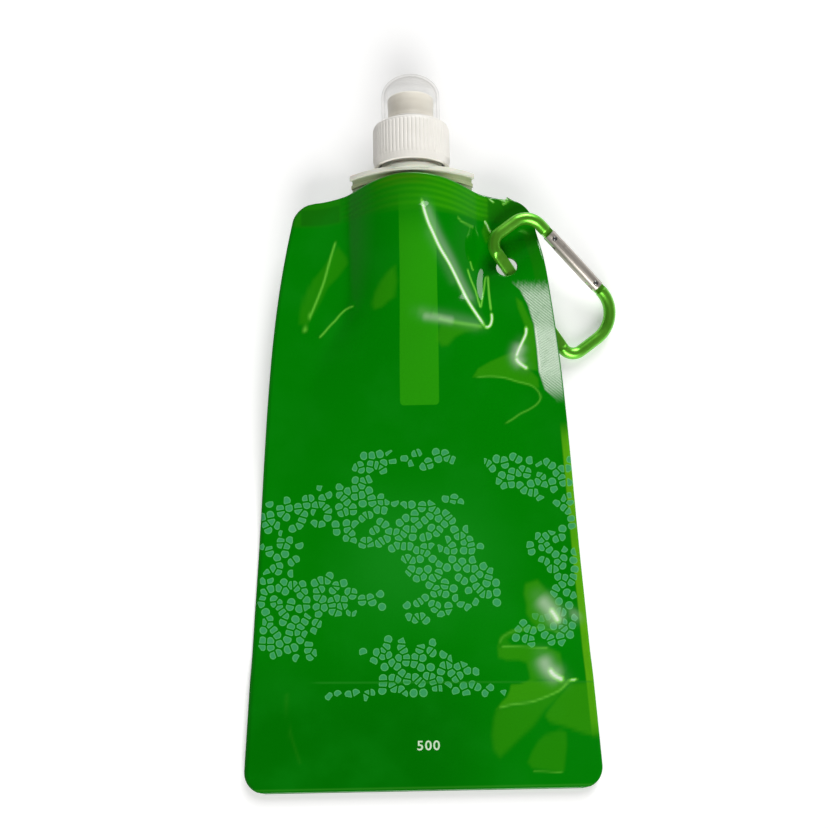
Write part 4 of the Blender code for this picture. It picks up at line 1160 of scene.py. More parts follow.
def drawn(name, data):
    """A curve or a text as a bmesh."""
    obj = bpy.data.objects.new(name, data)
    bpy.context.scene.collection.objects.link(obj)
    mesh = evaluated(obj)
    bpy.data.objects.remove(obj, do_unlink=True)
    bm = bmesh.new()
    bm.from_mesh(mesh)
    bmesh.ops.remove_doubles(bm, verts=bm.verts, dist=0.001)
    return bm


def make_number(words, left, right, base):
    """Words on the front film, from left to right and standing on the height base."""
    letters = bpy.data.curves.new("number", "FONT")
    letters.body = words
    letters.size = 4.6
    letters.space_character = 1.15
    letters.offset = 0.06
    letters.resolution_u = 6
    bm = drawn("number_text", letters)
    low = min(v.co.x for v in bm.verts)
    span = max(v.co.x for v in bm.verts) - low
    for vert in bm.verts:
        vert.co.x = left + (vert.co.x - low) * (right - left) / span
        vert.co.y += base
    x, height = np.array([v.co[:2] for v in bm.verts]).T
    proud = folds(x, height)[0] + INK_THICKNESS
    for vert, place in zip(bm.verts, film_places(x, height, 1, proud)):
        vert.co = place
    bmesh.ops.recalc_face_normals(bm, faces=bm.faces)
    return new_object("volume_number", bm)


volume_number = count(make_number("500", left=-2.0, right=6.0, base=14.0))
ink = Paint("pale_ink", Roughness=0.35)
blotch = ink.noise(ink.place(), 900.0, 3.0)
ink.set(Base_Color=ink.mix(blotch.step(0.3, 0.8), colour(196, 232, 190), colour(226, 244, 220)))
volume_number.data.materials.append(ink.material)
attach(volume_number, "pouch_lower")

# %% [markdown]
# ## Turned pieces
#
# Spout, cap, nozzle, dust cover and seal are all round about one axis. Each is a profile, a
# chain of (radius, height) points, spun once round that axis. Corners of the profile are
# rounded first, because no moulded edge is sharp and a rounded edge is what catches the light.

# %% Helpers for solid pieces
ON_AXIS = (0, 0, AXIS_Z)


def rounded(profile, radius, steps=4):
    """A closed profile with its corners rounded, all alike or each by its own radius."""
    radii = radius if isinstance(radius, (list, tuple)) else [radius] * len(profile)
    points = [Vector(p) for p in profile]
    out = []
    for i, here in enumerate(points):
        into = points[i - 1] - here
        away = points[(i + 1) % len(points)] - here
        reach = min(radii[i], into.length * 0.45, away.length * 0.45)
        if here.x < 1e-6 or reach < 0.02:
            out.append(here)
            continue
        a, b = here + into.normalized() * reach, here + away.normalized() * reach
        for k in range(steps + 1):
            t = k / steps
            out.append(a * (1 - t) ** 2 + here * 2 * t * (1 - t) + b * t * t)
    return [(p.x, p.y) for p in out]


def placed(name, bm, at=ON_AXIS):
    """A bmesh in mm, moved to its place, as an object in metres."""
    bmesh.ops.translate(bm, verts=bm.verts, vec=at)
    bmesh.ops.scale(bm, verts=bm.verts, vec=(MM, MM, MM))
    return new_object(name, bm)


def shade(obj, angle=40):
    """Smooth shading with sharp edges where faces meet at more than the angle."""
    obj.data.shade_smooth()
    obj.data.set_sharp_from_angle(angle=math.radians(angle))
    return obj


def bevel(bm, width, segments=2, edges=None):
    """Rounds the edges, all of them if none are named."""
    bmesh.ops.bevel(
        bm, geom=edges or bm.edges, offset=width, offset_type="OFFSET", segments=segments,
        profile=0.5, affect="EDGES", material=-1,
    )


def spun(name, profile, segments=96, closed=True):
    """A profile in mm turned round the spout's axis."""
    bm = bmesh.new()
    ring = [bm.verts.new((r, h - DATUM, 0)) for r, h in profile]
    pairs = list(zip(ring, ring[1:])) + ([(ring[-1], ring[0])] if closed else [])
    edges = [bm.edges.new(pair) for pair in pairs]
    bmesh.ops.spin(
        bm, geom=ring + edges, cent=(0, 0, 0), axis=(0, 1, 0), angle=2 * math.pi, steps=segments,
        use_merge=True,
    )
    bmesh.ops.remove_doubles(bm, verts=bm.verts, dist=0.0005)
    bmesh.ops.recalc_face_normals(bm, faces=bm.faces)
    return shade(placed(name, bm))


def bevelled_block(name, size, at, radius=0.15):
    """A small block with rounded edges; its place is across, height and Z in mm."""
    bm = bmesh.new()
    bmesh.ops.create_cube(bm, size=1.0)
    bmesh.ops.scale(bm, verts=bm.verts, vec=size)
    bevel(bm, radius)
    return placed(name, bm, (at[0], at[1] - DATUM, at[2]))


def join(name, pieces):
    """Several pieces as one object. They overlap where they are moulded as one."""
    bm = bmesh.new()
    for piece in pieces:
        bm.from_mesh(piece.data)
        bpy.data.objects.remove(piece, do_unlink=True)
    return shade(new_object(name, bm))


print("a rounded square has", len(rounded([(1, 0), (3, 0), (3, 2), (1, 2)], 0.5)), "points")

# %% [markdown]
# ## The spout
#
# The spout is one moulding of natural, slightly milky plastic. Its foot is a boat shape that
# the films are welded to, with ribs that melt into them. Above the films lies a thin flange
# with pointed ends. A short fin stands under its left end, and a low wedge rises from the
# flange to the neck at the right. The neck has a bead and a screw thread.

# %% Boat and flange
FLANGE_BASE = 219.6
FLANGE_TOP = 221.2
BOAT_RIBS = 4
BOAT_RIB = 0.4
BOAT_TIP = 0.7


def boat_loop(bm, half_length, half_depth, height, steps=24):
    """A closed ring of edges round a boat outline, at a height."""
    end = half_length
    while float(boat(np.array(end), half_length, half_depth)) < BOAT_TIP:
        end -= 0.02
    xs = [end * math.sin(math.pi / 2 * k / steps) for k in range(-steps, steps + 1)]
    side = [(x, float(boat(np.array(x), half_length, half_depth))) for x in xs]
    points = side + [(x, -z) for x, z in reversed(side)]
    verts = [bm.verts.new((x, height - DATUM, z)) for x, z in points]
    return [bm.edges.new(pair) for pair in zip(verts, verts[1:] + verts[:1])]


def boat_body(name, sections):
    """A closed solid through boat outlines, each (grow, height)."""
    bm = bmesh.new()
    loops = [boat_loop(bm, BOAT_HALF_LENGTH + g, BOAT_HALF_DEPTH + g, h) for g, h in sections]
    for low, high in zip(loops, loops[1:]):
        bmesh.ops.bridge_loops(bm, edges=low + high)
    for loop in (loops[0], loops[-1]):
        bmesh.ops.holes_fill(bm, edges=loop)
    bmesh.ops.recalc_face_normals(bm, faces=bm.faces)
    return placed(name, bm)


def weld_ribs():
    """Sections up the boat, with ribs that melt into the film."""
    pitch = (FLANGE_BASE - BOAT_BASE - 2 * BOAT_RIB) / BOAT_RIBS
    out = [(-BOAT_RIB, BOAT_BASE)]
    for k in range(BOAT_RIBS):
        low = BOAT_BASE + BOAT_RIB + k * pitch
        high = low + pitch / 2
        out += [(-BOAT_RIB, low), (0.0, low + 0.25), (0.0, high - 0.25), (-BOAT_RIB, high)]
    return out + [(-BOAT_RIB, FLANGE_BASE)]


print("sections up the boat:", len(weld_ribs()))

# %% [markdown]
# The neck is spun like every turned piece. Its thread is a small circle that is spun too, but
# moves up a little with each step. The pieces overlap and become one object, as they are one
# moulding.

# %% Neck, thread and the whole spout
NECK_RADIUS = 11.2
BORE = 8.6
NECK_RIM = 236.1
THREAD_BASE = 227.0
THREAD_PITCH = 3.2
THREAD_TURNS = 1.5


def make_neck():
    """The bored neck with the bead at its foot."""
    bead = NECK_RADIUS + 1.2
    return spun("neck", rounded([
        (BORE, NECK_RIM), (NECK_RADIUS, NECK_RIM), (NECK_RADIUS, FLANGE_TOP + 1.4),
        (bead, FLANGE_TOP + 0.9), (bead, FLANGE_TOP - 0.8), (BORE, FLANGE_TOP - 0.8),
    ], [0.3, 0.4, 0.6, 0.5, 0, 0]))


def make_thread(steps=72):
    """A rounded screw thread on the neck."""
    bm = bmesh.new()
    ring = bmesh.ops.create_circle(bm, segments=8, radius=0.5)["verts"]
    bmesh.ops.scale(bm, verts=ring, vec=(1.0, 0.75, 1.0))
    bmesh.ops.translate(bm, verts=ring, vec=(NECK_RADIUS + 0.12, THREAD_BASE - DATUM, 0))
    edges = list({e for v in ring for e in v.link_edges})
    bmesh.ops.spin(
        bm, geom=ring + edges, cent=(0, 0, 0), axis=(0, 1, 0), steps=steps,
        angle=2 * math.pi * THREAD_TURNS, dvec=(0, THREAD_PITCH * THREAD_TURNS / steps, 0),
    )
    bmesh.ops.holes_fill(bm, edges=[e for e in bm.edges if e.is_boundary])
    bmesh.ops.recalc_face_normals(bm, faces=bm.faces)
    return placed("thread", bm)


def make_wedge():
    """A low wedge on the flange, high at the neck and running out towards the right end."""
    bm = bmesh.new()
    bmesh.ops.create_cube(bm, size=1.0)
    bmesh.ops.scale(bm, verts=bm.verts, vec=(9.0, 1.6, 1.6))
    for vert in bm.verts:
        if vert.co.x > 0 and vert.co.y > 0:
            vert.co.y = -0.75
    bevel(bm, 0.12)
    return placed("wedge", bm, (15.6, FLANGE_TOP + 0.7 - DATUM, AXIS_Z))


def make_spout():
    foot = boat_body("boat", weld_ribs())
    flange = boat_body("flange", [
        (0.4, FLANGE_BASE), (0.6, FLANGE_BASE + 0.2), (0.6, FLANGE_TOP - 0.2), (0.4, FLANGE_TOP),
    ])
    neck, thread = make_neck(), make_thread()
    fin = bevelled_block("fin", (2.6, 3.2, 1.1), (-20.2, FLANGE_BASE - 1.3, AXIS_Z))
    return join("spout", [foot, flange, neck, thread, fin, make_wedge()])


spout = count(make_spout())
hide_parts("spout_fitment")
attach(spout, "bottle")

# %% [markdown]
# ## The cap
#
# The cap's wall is spun like the others, but with many columns, and its outer points between
# the plain band and the top are then drawn in and out to make the ribs. Real grip ribs are
# rounded and run out at the top edge, so the wave fades there. The tower in its middle holds
# the sealing plug on three thin arms, and the nozzle slides on it.

# %% Cap
CAP_BASE = 223.3
CAP_TOP = 239.4
CAP_RADIUS = 14.2
CAP_WALL = 1.3
CAP_CEILING = 237.8
CAP_CORNER = 0.9
CAP_RIB = 0.25
CAP_RIBS = 60
BAND_TOP = CAP_BASE + 2.4
BOSS_INSIDE, BOSS_OUTSIDE, BOSS_TOP = 8.9, 9.7, CAP_TOP + 2.2
TOWER_BORE = 5.0
TOWER_RADIUS = 6.5
TOWER_TOP = 248.0
PLUG_RADIUS = 2.5
PLUG_TOP = 250.2
PLUG_LENGTH = 3.2


def make_cap_shell():
    root = CAP_RADIUS - CAP_RIB
    wall = root - CAP_WALL
    rows = [CAP_TOP - CAP_CORNER - k * 0.25 for k in range(5)]
    rows += list(np.linspace(rows[-1], CAP_BASE + 2.9, 12))[1:] + [CAP_BASE + 2.6, CAP_BASE + 2.3]
    outer = [(root, h) for h in rows]
    tower = [(TOWER_BORE, TOWER_TOP), (TOWER_RADIUS, TOWER_TOP), (TOWER_RADIUS, CAP_TOP)]
    boss = [(BOSS_INSIDE, CAP_TOP), (BOSS_INSIDE, BOSS_TOP), (BOSS_OUTSIDE, BOSS_TOP),
            (BOSS_OUTSIDE, CAP_TOP)]
    top = rounded(tower, [0.2, 0.4, 0]) + rounded(boss, [0, 0.15, 0.3, 0])
    r, centre, level = CAP_CORNER, root - CAP_CORNER, CAP_TOP - CAP_CORNER
    edge = [(centre + r * math.sin(t), level + r * math.cos(t)) for t in np.linspace(0, 1.4, 6)]
    base = [(root, CAP_BASE + 0.3), (root - 0.1, CAP_BASE + 0.08), (root - 0.3, CAP_BASE)]
    inner = [(wall, CAP_BASE), (wall, CAP_CEILING), (TOWER_BORE, CAP_CEILING)]
    return spun("cap_shell", top + edge + outer + base + inner, 8 * CAP_RIBS)


def raise_ribs(shell):
    """Draws the wall's outer points out and in, as rounded ribs with narrow grooves."""
    root = (CAP_RADIUS - CAP_RIB) * MM
    for vert in shell.data.vertices:
        x, z = vert.co.x, vert.co.z - AXIS_Z * MM
        away = math.hypot(x, z)
        height = vert.co.y / MM + DATUM
        if away < root - 0.02 * MM or not BAND_TOP < height < CAP_TOP - 0.8:
            continue
        wave = abs(math.sin(CAP_RIBS / 2 * math.atan2(z, x)))
        fade = smooth((height - BAND_TOP) / 0.4) * smooth((CAP_TOP - 0.85 - height) / 0.8)
        grow = 1 + (CAP_RIB * MM / away) * (wave ** 0.4) * float(fade)
        vert.co.x, vert.co.z = x * grow, z * grow + AXIS_Z * MM


def make_plug():
    """The sealing plug and the three arms that hold it."""
    low = TOWER_TOP - PLUG_LENGTH
    profile = [(0, PLUG_TOP), (PLUG_RADIUS, PLUG_TOP), (PLUG_RADIUS, low), (0, low)]
    plug = spun("plug", rounded(profile, [0, 0.35, 0.3, 0]), 48, False)
    arms = []
    for k in range(3):
        arm = bevelled_block("arm", (4.2, 2.0, 1.5), (3.6, low + 1.3, 0))
        turn = Matrix.Rotation(-2 * math.pi * (k + 0.5) / 3, 4, "Y")
        arm.data.transform(Matrix.Translation(Vector(ON_AXIS) * MM) @ turn)
        arms.append(arm)
    return [plug, *arms]


cap_shell = make_cap_shell()
raise_ribs(cap_shell)
cap = count(join("cap", [cap_shell, *make_plug()]))
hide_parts("screw_cap")
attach(cap, "cap")

# %% [markdown]
# The nozzle is a soft, cream-coloured sleeve with a rounded lip and a shallow waist for the
# teeth. The dust cover is a clear dome with a real wall, because the second surface is what
# makes its edge look bright.

# %% Nozzle, dust cover and seal
NOZZLE_BASE = 240.0
NOZZLE_TOP = 250.7
NOZZLE_CEILING = 248.6
NOZZLE_RADIUS = 8.6
NOZZLE_WAIST = NOZZLE_RADIUS - 0.15
NOZZLE_BORE = 6.8
NOZZLE_HOLE = 2.8
COVER_BASE = CAP_TOP + 0.3
COVER_SHOULDER = 251.6
COVER_APEX = 259.6
COVER_RADIUS = 10.9
COVER_WALL = 0.9
SEAL_LOW = 236.4
SEAL_HIGH = 237.5


def make_nozzle():
    return spun("nozzle_sleeve", rounded([
        (NOZZLE_RADIUS, NOZZLE_TOP), (NOZZLE_RADIUS, NOZZLE_TOP - 2.6),
        (NOZZLE_WAIST, NOZZLE_TOP - 3.8), (NOZZLE_WAIST, NOZZLE_BASE + 3.4),
        (NOZZLE_RADIUS, NOZZLE_BASE + 2.4), (NOZZLE_RADIUS, NOZZLE_BASE),
        (NOZZLE_BORE, NOZZLE_BASE), (NOZZLE_BORE, NOZZLE_CEILING),
        (NOZZLE_HOLE, NOZZLE_CEILING), (NOZZLE_HOLE, NOZZLE_TOP),
    ], [1.1, 0.8, 0.8, 0.8, 0.6, 0.3, 0.15, 0.2, 0.2, 0.5], 6), 96)


def make_cover():
    turns = np.linspace(0, math.pi / 2, 22)
    rise = COVER_APEX - COVER_SHOULDER
    out, ins = (
        [(r * math.sin(t), COVER_SHOULDER + up * math.cos(t)) for t in turns]
        for r, up in ((COVER_RADIUS, rise), (COVER_RADIUS - COVER_WALL, rise - COVER_WALL))
    )
    foot = [(COVER_RADIUS - inset, COVER_BASE + up) for inset, up in (
        (0.0, 0.25), (0.15, 0.05), (0.3, 0.0), (0.7, 0.0), (COVER_WALL, 0.2),
    )]
    return spun("clear_dome", out + foot + ins[::-1], 96, False)


def make_seal():
    outside = [(NECK_RADIUS, SEAL_HIGH), (NECK_RADIUS, SEAL_LOW)]
    return spun("seal_ring", rounded(outside + [(BORE, SEAL_LOW), (BORE, SEAL_HIGH)], 0.25), 64)


nozzle_sleeve = count(make_nozzle())
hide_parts("nozzle")
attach(nozzle_sleeve, "nozzle")
clear_dome = count(make_cover())
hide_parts("dust_cover")
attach(clear_dome, "dust_cover")
seal_ring = count(make_seal())
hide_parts("cap_seal")
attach(seal_ring, "seal")

# %% [markdown]
# ## Moulded plastics
#
# Moulded plastic is never one even colour: the pigment clouds a little, the surface carries the
# fine spark texture of its mould, and handling polishes it. Each plastic gets its own colour,
# cloud and gloss from one short rule. Below its flange the spout's milky plastic is painted
# darker and greener, as shade and as the green light that comes through the films round its
# foot. The clear cover is almost unseen face on, and hazier at its crown and where the wall is
# seen along its length; its crown is also painted a darker grey, as shade.

# %% Plastics
CLOUD_SCALE = 90.0
SPARK_SCALE = 4200.0


def clouded(paint, shade, pale):
    """Two close colours in soft clouds."""
    return paint.mix(paint.noise(paint.place(), CLOUD_SCALE, 3.0).step(0.3, 0.7), shade, pale)


def spark_texture(paint):
    """The fine grain that a mould leaves."""
    return paint.bump(paint.noise(paint.place(), SPARK_SCALE, 2.0), 0.02 * MM, 0.5)


def height_up(paint):
    """Height above the pouch's bottom edge, in mm."""
    return paint.parts(paint.place()).output("Y") / MM + DATUM


def plastic(name, pale, shade, rough):
    """A moulded plastic between two close colours."""
    paint = Paint(name)
    worn = paint.noise(paint.place(), 320.0, 4.0, 0.65)
    paint.set(
        Base_Color=clouded(paint, shade, pale),
        Roughness=rough - 0.06 + worn * 0.14,
        Normal=spark_texture(paint),
    )
    return paint.material


def spout_plastic():
    paint = Paint("spout_natural", Subsurface_Weight=0.15, Subsurface_Scale=0.002)
    milky = clouded(paint, colour(224, 225, 210), colour(236, 236, 226))
    # Below the flange: painted shade and the green of light through the films.
    painted_shade_green = clouded(paint, colour(140, 160, 106), colour(172, 187, 142))
    foot = height_up(paint).step(FLANGE_BASE + 0.3, FLANGE_BASE - 0.8)
    paint.set(
        Base_Color=paint.mix(foot, milky, painted_shade_green),
        Roughness=0.32 + paint.noise(paint.place(), CLOUD_SCALE, 3.0) * 0.1,
        Normal=spark_texture(paint),
    )
    return paint.material


def dome_plastic():
    paint = Paint("clear_plastic", IOR=1.49)
    crown = height_up(paint).step(COVER_SHOULDER - 1.0, COVER_SHOULDER + 0.8)
    cloud = paint.noise(paint.place(), CLOUD_SCALE, 3.0)
    wall = paint.mix(cloud, colour(228, 225, 218), colour(240, 238, 232))
    edge_on = paint.node("ShaderNodeLayerWeight", inputs={"Blend": 0.5}).output("Facing")
    paint.set(
        # The crown is painted a darker grey, as shade.
        Base_Color=paint.mix(crown, wall, colour(176, 172, 162)),
        Roughness=0.10 + cloud * 0.05,
        Alpha=0.03 + crown * 0.06 + edge_on ** 5.0 * 0.42,
    )
    return paint.material


for piece, material in (
    (cap, plastic("cap_white", colour(247, 244, 238), colour(240, 237, 230), 0.42)),
    (spout, spout_plastic()),
    (nozzle_sleeve, plastic("nozzle_cream", colour(252, 247, 234), colour(246, 240, 226), 0.34)),
    (seal_ring, plastic("seal_foam", colour(226, 226, 222), colour(210, 210, 205), 0.6)),
    (clear_dome, dome_plastic()),
):
    piece.data.materials.append(material)
    print(f"{piece.name}: {material.name}")

# %% [markdown]
# ## The carabiner
#
# The ring is bent from one aluminium bar. Its two ends are pressed flat into tongues, and its
# spine is pressed flat on both faces. It is a curve with a round section, turned into a mesh
# so that the spine's faces can be flattened. All its pieces are worked out in the ring's own
# plane: A runs along the spine from the hole, and B towards the gate.

# %% Ring's plane
ROD = 2.25
GATE_SLANT = math.radians(8.5)
GATE_START = -0.4
GATE_LENGTH = 26.8
GATE_END = GATE_START + GATE_LENGTH
GATE_RADIUS = 2.45
GATE_BORE = 1.75
RING_WIDTH = 19.9
RING_WIDE = 41.6
RING_NARROW = -11.52
SPINE_CORNER = 5.0
CORNERS = [11.6, SPINE_CORNER, SPINE_CORNER, 7.6]
SPINE_THICK = 3.0
SPINE_STEP = 0.9
TONGUE = 1.8
TONGUE_SHOW = 1.8
TONGUE_ROOT = 1.5
CAM_HALF = 1.95
PIVOT_INSET = 2.4
PIVOT_AT = GATE_START + PIVOT_INSET
LATCH_AT = GATE_END - 1.9
PIN = 0.7
PIN_HOLE = 0.9
NOTCH_HALF = 1.1
NOSE_END = LATCH_AT - NOTCH_HALF - 1.2
DRILL = 8.0
RING_STEP = 0.6
RING_DROP = (AXIS_Z - ROD) / RING_WIDE

level_way = math.sqrt(1 - RING_DROP ** 2)
ring_x = Vector((math.cos(RING_TURN) * level_way, math.sin(RING_TURN) * level_way, -RING_DROP))
ring_y = Vector((-math.sin(RING_TURN), math.cos(RING_TURN), 0))
ring_turn = Matrix((ring_x, ring_y, ring_x.cross(ring_y))).transposed().to_4x4()
ring_at = Vector((HOLE[0], HOLE[1] - DATUM, AXIS_Z)) * MM
RING = Matrix.Translation(ring_at) @ ring_turn @ Matrix.Scale(MM, 4)
gate_way = Vector((math.cos(GATE_SLANT), math.sin(GATE_SLANT)))


def on_gate(along):
    """A point of the gate's centre line in the ring's plane."""
    return Vector((0, RING_WIDTH)) + gate_way * along


def rounded_path(corners, radii, step=math.radians(4)):
    """Points of a path whose inner corners are arcs."""
    path = [corners[0].copy()]
    for before, here, after, radius in zip(corners, corners[1:], corners[2:], radii):
        into = (here - before).normalized()
        out = (after - here).normalized()
        turn = into.angle_signed(out)
        half = abs(turn) / 2
        centre = here + (out - into).normalized() * (radius / math.cos(half))
        start = here - into * radius * math.tan(half) - centre
        steps = max(2, math.ceil(abs(turn) / step))
        path += [centre + Matrix.Rotation(-turn * k / steps, 2) @ start for k in range(steps + 1)]
    return path + [corners[-1].copy()]


def divided(path, gap):
    """The path with its long runs divided."""
    out = [path[0]]
    for a, b in zip(path, path[1:]):
        steps = max(1, round((b - a).length / gap))
        out += [a.lerp(b, k / steps) for k in range(1, steps + 1)]
    return out


def bar(name, path, radius, resolution=8):
    """A round bar with capped ends along points."""
    curve = bpy.data.curves.new(name, "CURVE")
    curve.dimensions = "3D"
    curve.bevel_depth = radius
    curve.bevel_resolution = resolution
    curve.use_fill_caps = True
    line = curve.splines.new("POLY")
    line.points.add(len(path) - 1)
    for point, at in zip(line.points, path):
        point.co = (*at.to_3d(), 1)
    bm = drawn(name, curve)
    bmesh.ops.recalc_face_normals(bm, faces=bm.faces)
    return new_object(name, bm)


ring_corners = [
    on_gate(GATE_END + TONGUE_SHOW),
    on_gate(RING_WIDE / gate_way.x),
    Vector((RING_WIDE, 0)),
    Vector((RING_NARROW, 0)),
    on_gate(RING_NARROW / gate_way.x),
    on_gate(GATE_START - TONGUE_SHOW),
]
ring_path = divided(rounded_path(ring_corners, CORNERS), RING_STEP)
ring_length = sum((b - a).length for a, b in zip(ring_path, ring_path[1:]))
print("ring's bar is", round(ring_length), "mm long")

# %% [markdown]
# Each tongue is a flat plate with an eye or a notch. They are cut with Booleans from cutters
# that aren't rendered, then bevelled lightly, because pressed aluminium has soft edges.

# %% Ring with its tongues
def block(name, size, at, turn=0.0):
    """A plain block in the ring's plane, as a cutter or a plate."""
    bm = bmesh.new()
    bmesh.ops.create_cube(bm, size=1.0)
    bmesh.ops.scale(bm, verts=bm.verts, vec=size)
    spin = Matrix.Rotation(turn, 3, "Z")
    bmesh.ops.rotate(bm, verts=bm.verts, cent=(0, 0, 0), matrix=spin)
    bmesh.ops.translate(bm, verts=bm.verts, vec=(*at, 0))
    return new_object(name, bm)


def rod(radius, length, sides=32):
    """A bmesh of a plain rod that stands up."""
    bm = bmesh.new()
    bmesh.ops.create_cone(
        bm, cap_ends=True, segments=sides, radius1=radius, radius2=radius, depth=length
    )
    return bm


def drill(name, radius, length, at):
    """A drill across the ring's plane."""
    bm = rod(radius, length)
    bmesh.ops.translate(bm, verts=bm.verts, vec=(*at, 0))
    return new_object(name, bm)


def carve(obj, tools):
    """Unites or cuts obj with each (operation, tool), then drops the tools."""
    for operation, tool in tools:
        change = obj.modifiers.new(tool.name, "BOOLEAN")
        change.operation = operation
        change.solver = "EXACT"
        change.object = tool
    finish_modifiers(obj)
    for _, tool in tools:
        bpy.data.objects.remove(tool, do_unlink=True)
    return obj


def soften(obj, width, segments=2, angle=40):
    """A small bevel on the hard edges."""
    edge = obj.modifiers.new("edge", "BEVEL")
    edge.width = width
    edge.segments = segments
    edge.limit_method = "ANGLE"
    edge.angle_limit = math.radians(angle)
    edge.harden_normals = False
    return shade(finish_modifiers(obj), angle)


def press_spine(obj):
    """Flattens the spine's two faces, with a short step at each end."""
    start, end = RING_NARROW + SPINE_CORNER, RING_WIDE - SPINE_CORNER
    for vert in obj.data.vertices:
        if abs(vert.co.y) < 2 * ROD:
            t = float(smooth(min(vert.co.x - start, end - vert.co.x) / SPINE_STEP))
            limit = blend(ROD, SPINE_THICK / 2, t)
            vert.co.z = max(-limit, min(limit, vert.co.z))


def make_ring():
    ring = bar("carabiner_ring", ring_path, ROD)
    press_spine(ring)
    tools = []
    for name, start, end in (
        ("pivot_tongue", GATE_START - TONGUE_SHOW - TONGUE_ROOT, PIVOT_AT + CAM_HALF),
        ("latch_tongue", NOSE_END, GATE_END + TONGUE_SHOW + TONGUE_ROOT),
    ):
        size = (end - start, 2 * CAM_HALF, TONGUE)
        tools.append(("UNION", block(name, size, on_gate((start + end) / 2), GATE_SLANT)))
    tools.append(("DIFFERENCE", drill("eye", PIN_HOLE, DRILL, on_gate(PIVOT_AT))))
    side = Vector((-gate_way.y, gate_way.x)) * (NOTCH_HALF - CAM_HALF)
    size = (2 * NOTCH_HALF, 2 * CAM_HALF, DRILL)
    tools.append(("DIFFERENCE", block("notch", size, on_gate(LATCH_AT) + side, GATE_SLANT)))
    carve(ring, tools)
    ring.data.transform(RING)
    return soften(ring, 0.12 * MM)


carabiner_ring = count(make_ring())
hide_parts("carabiner_frame")
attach(carabiner_ring, "carabiner")

# %% [markdown]
# ## The gate
#
# The gate is a steel tube. A slot across each end takes a tongue of the ring, a pin through
# one end is its hinge, and a pin through the other drops into the notch. Inside, a small
# plunger and a spring push it shut. The plunger's CAD shape is right and small, so it stays
# and only gets a finish. The spring is wound anew here, because it has to shorten: its one end
# follows the plunger and its other end stays in the gate.

# %% Gate
PLAY = 0.3
GATE_CUT = 9.0
PLUNGER_LENGTH = 3.0
COIL_LENGTH = 8.0
COIL_WIRE = 0.5
COIL_TURNS = 6
COIL_BASE = CAM_HALF + PLAY + PLUNGER_LENGTH + PLAY
COIL_END = COIL_BASE + COIL_LENGTH
LATCH_PIN_AT = LATCH_AT - PIVOT_AT
gate_turn = Matrix.Rotation(GATE_SLANT, 4, "Z")
GATE = RING @ Matrix.Translation((*on_gate(PIVOT_AT), 0)) @ gate_turn


def tube_body(name, start, end, radius, sides=64):
    """A bar along the gate, in the gate's own place."""
    bm = rod(radius, end - start, sides)
    lay = Matrix.Rotation(math.pi / 2, 3, "Y")
    bmesh.ops.rotate(bm, verts=bm.verts, cent=(0, 0, 0), matrix=lay)
    bmesh.ops.translate(bm, verts=bm.verts, vec=((start + end) / 2, 0, 0))
    return new_object(name, bm)


def make_gate():
    low, high = -PIVOT_INSET, GATE_LENGTH - PIVOT_INSET
    pivot_slot = CAM_HALF * math.sqrt(2) + PLAY
    latch_slot = high + NOSE_END - GATE_END - 2 * PLAY
    tube = tube_body("gate_sleeve", low, high, GATE_RADIUS)
    cutters = [tube_body("bore", low - 1, COIL_END + PLAY, GATE_BORE, 48)]
    for name, start, end in (
        ("pivot_slot", low - 1, pivot_slot),
        ("latch_slot", latch_slot, high + 1),
    ):
        size = (end - start, GATE_CUT, TONGUE + 2 * PLAY)
        cutters.append(block(name, size, ((start + end) / 2, 0)))
    for name, at in (("pivot_hole", 0.0), ("latch_hole", LATCH_PIN_AT)):
        cutters.append(drill(name, PIN_HOLE, GATE_CUT, (at, 0)))
    carve(tube, [("DIFFERENCE", cutter) for cutter in cutters])
    tube.data.transform(GATE)
    return soften(tube, 0.15 * MM, 3)


def make_pin(name, at):
    """A pin with slightly domed, riveted ends."""
    bm = rod(PIN, 2 * GATE_RADIUS - 0.2)
    rims = [e for e in bm.edges if abs(e.verts[0].co.z - e.verts[1].co.z) < 1e-5]
    bevel(bm, 0.25, 3, rims)
    bmesh.ops.translate(bm, verts=bm.verts, vec=(at, 0, 0))
    bmesh.ops.transform(bm, verts=bm.verts, matrix=GATE)
    return shade(new_object(name, bm), 50)


def make_coil(steps=16):
    """The spring, wound as one tube along the gate's bore."""
    radius = GATE_BORE - PLAY - COIL_WIRE / 2
    path = []
    for k in range(COIL_TURNS * steps + 1):
        turn = 2 * math.pi * k / steps
        run = COIL_BASE + COIL_WIRE / 2 + (COIL_LENGTH - COIL_WIRE) * k / (COIL_TURNS * steps)
        path.append(Vector((run, radius * math.cos(turn), radius * math.sin(turn))))
    coil = bar("gate_coil", path, COIL_WIRE / 2, 3)
    coil.data.transform(GATE)
    coil.data.shade_smooth()
    return coil


gate_sleeve = count(make_gate())
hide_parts("carabiner_gate")
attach(gate_sleeve, "gate")
hinge_pin = make_pin("hinge_pin", 0.0)
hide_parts("gate_pivot_pin")
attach(hinge_pin, "carabiner")
latch_pin = make_pin("latch_pin", LATCH_PIN_AT)
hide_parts("gate_latch_pin")
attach(latch_pin, "gate")
gate_coil = count(make_coil())
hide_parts("gate_spring")
coil_ends = [tuple(GATE @ Vector((along, 0, 0))) for along in (COIL_BASE, COIL_END)]
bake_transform(gate_coil, "plunger", "gate", start=coil_ends[0], end=coil_ends[1])

# %% [markdown]
# ## Metals
#
# Dyed anodising is a thin coloured layer over bright metal, so its highlights keep the colour
# and it wears paler in patches. The gate's steel is satin, with fine scratches along the tube that
# come from drawing it through a die.

# %% Metal paints
STAIN = colour(120, 108, 96)


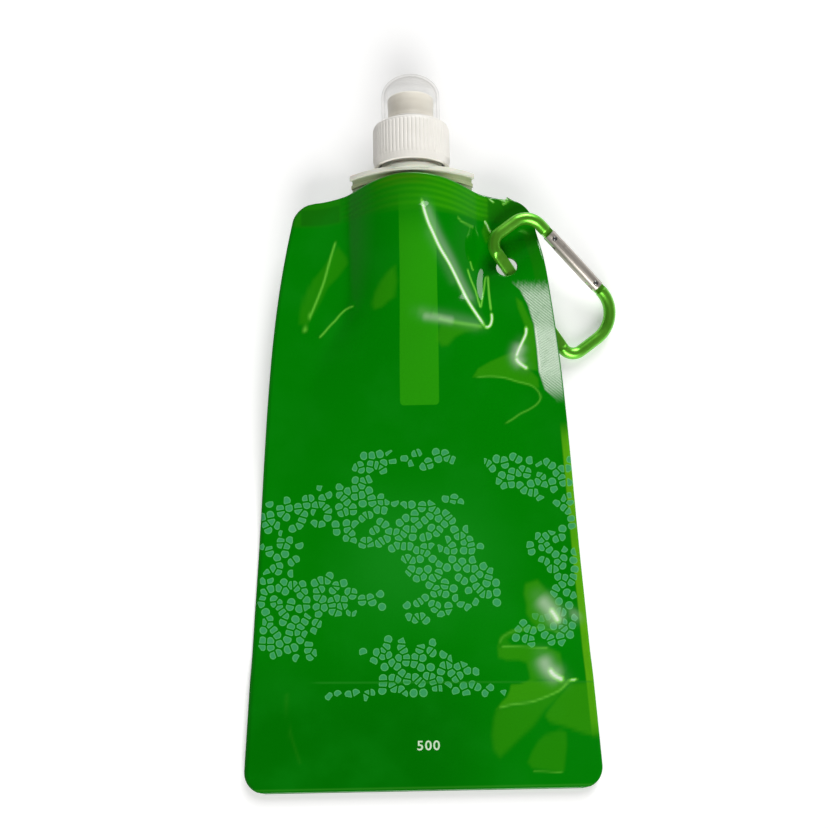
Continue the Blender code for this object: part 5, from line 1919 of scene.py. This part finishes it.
def make_anodised():
    paint = Paint("anodised_green", Metallic=0.68)
    place = paint.place()
    cloud = paint.noise(place, 120.0, 3.0)
    worn = paint.noise(place, 260.0, 5.0, 0.7).step(0.60, 0.78)
    base = paint.mix(cloud.step(0.25, 0.75), colour(96, 190, 40), colour(116, 208, 56))
    fine = paint.noise(place, 2600.0, 3.0)
    paint.set(
        Base_Color=paint.mix(worn * 0.25, base, colour(176, 222, 140)),
        Roughness=0.26 + cloud * 0.12,
        Coat_Weight=0.35,
        Coat_Roughness=0.12,
        Normal=paint.bump(fine, 0.01 * MM, 0.35),
    )
    return paint.material


def make_steel(name, pale, dark, rough, metal=1.0):
    """Steel with drawn lines along the gate."""
    paint = Paint(name, Metallic=metal)
    place = paint.place()
    turn = GATE.to_3x3().normalized().inverted().to_euler()
    along = paint.mapped(place, Rotation=tuple(turn))
    lines = paint.noise(paint.mapped(along, Scale=(60.0, 5200.0, 5200.0)), 1.0, 4.0, 0.6)
    blot = paint.noise(place, 300.0, 3.0)
    base = paint.mix(lines.step(0.3, 0.7), dark, pale)
    paint.set(
        Base_Color=paint.mix(blot.step(0.62, 0.8) * 0.4, base, STAIN),
        Roughness=rough + lines * 0.14,
        Normal=paint.bump(lines, 0.012 * MM, 0.5),
    )
    return paint.material


satin_steel = make_steel("satin_steel", colour(206, 200, 192), colour(172, 164, 154), 0.30, 0.62)
bright_steel = make_steel("bright_steel", colour(205, 205, 205), colour(168, 168, 170), 0.22)
carabiner_ring.data.materials.append(make_anodised())
gate_sleeve.data.materials.append(satin_steel)
for piece in (hinge_pin, latch_pin, gate_coil):
    piece.data.materials.append(bright_steel)
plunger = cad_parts["gate_plunger"]
plunger.data.materials.clear()
plunger.data.materials.append(bright_steel)
plunger.data.shade_smooth()
print("steel pieces:", [o.name for o in (gate_sleeve, hinge_pin, latch_pin, gate_coil, plunger)])

# %% [markdown]
# ## Measure and finish
#
# The dressed bottle's box is measured like the model's, and how far each of its corners lies
# from the model's box is printed, in mm. The dressed bottle must stay inside the model's
# box.

# %% Finish
bpy.context.scene.view_settings.view_transform = "Standard"
seen_box = [list(corner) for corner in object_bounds()]
grown = [[round((b - a) / MM, 2) for a, b in zip(c, s)] for c, s in zip(cad_box, seen_box)]
print("visual box minus model box, in mm:", grown)
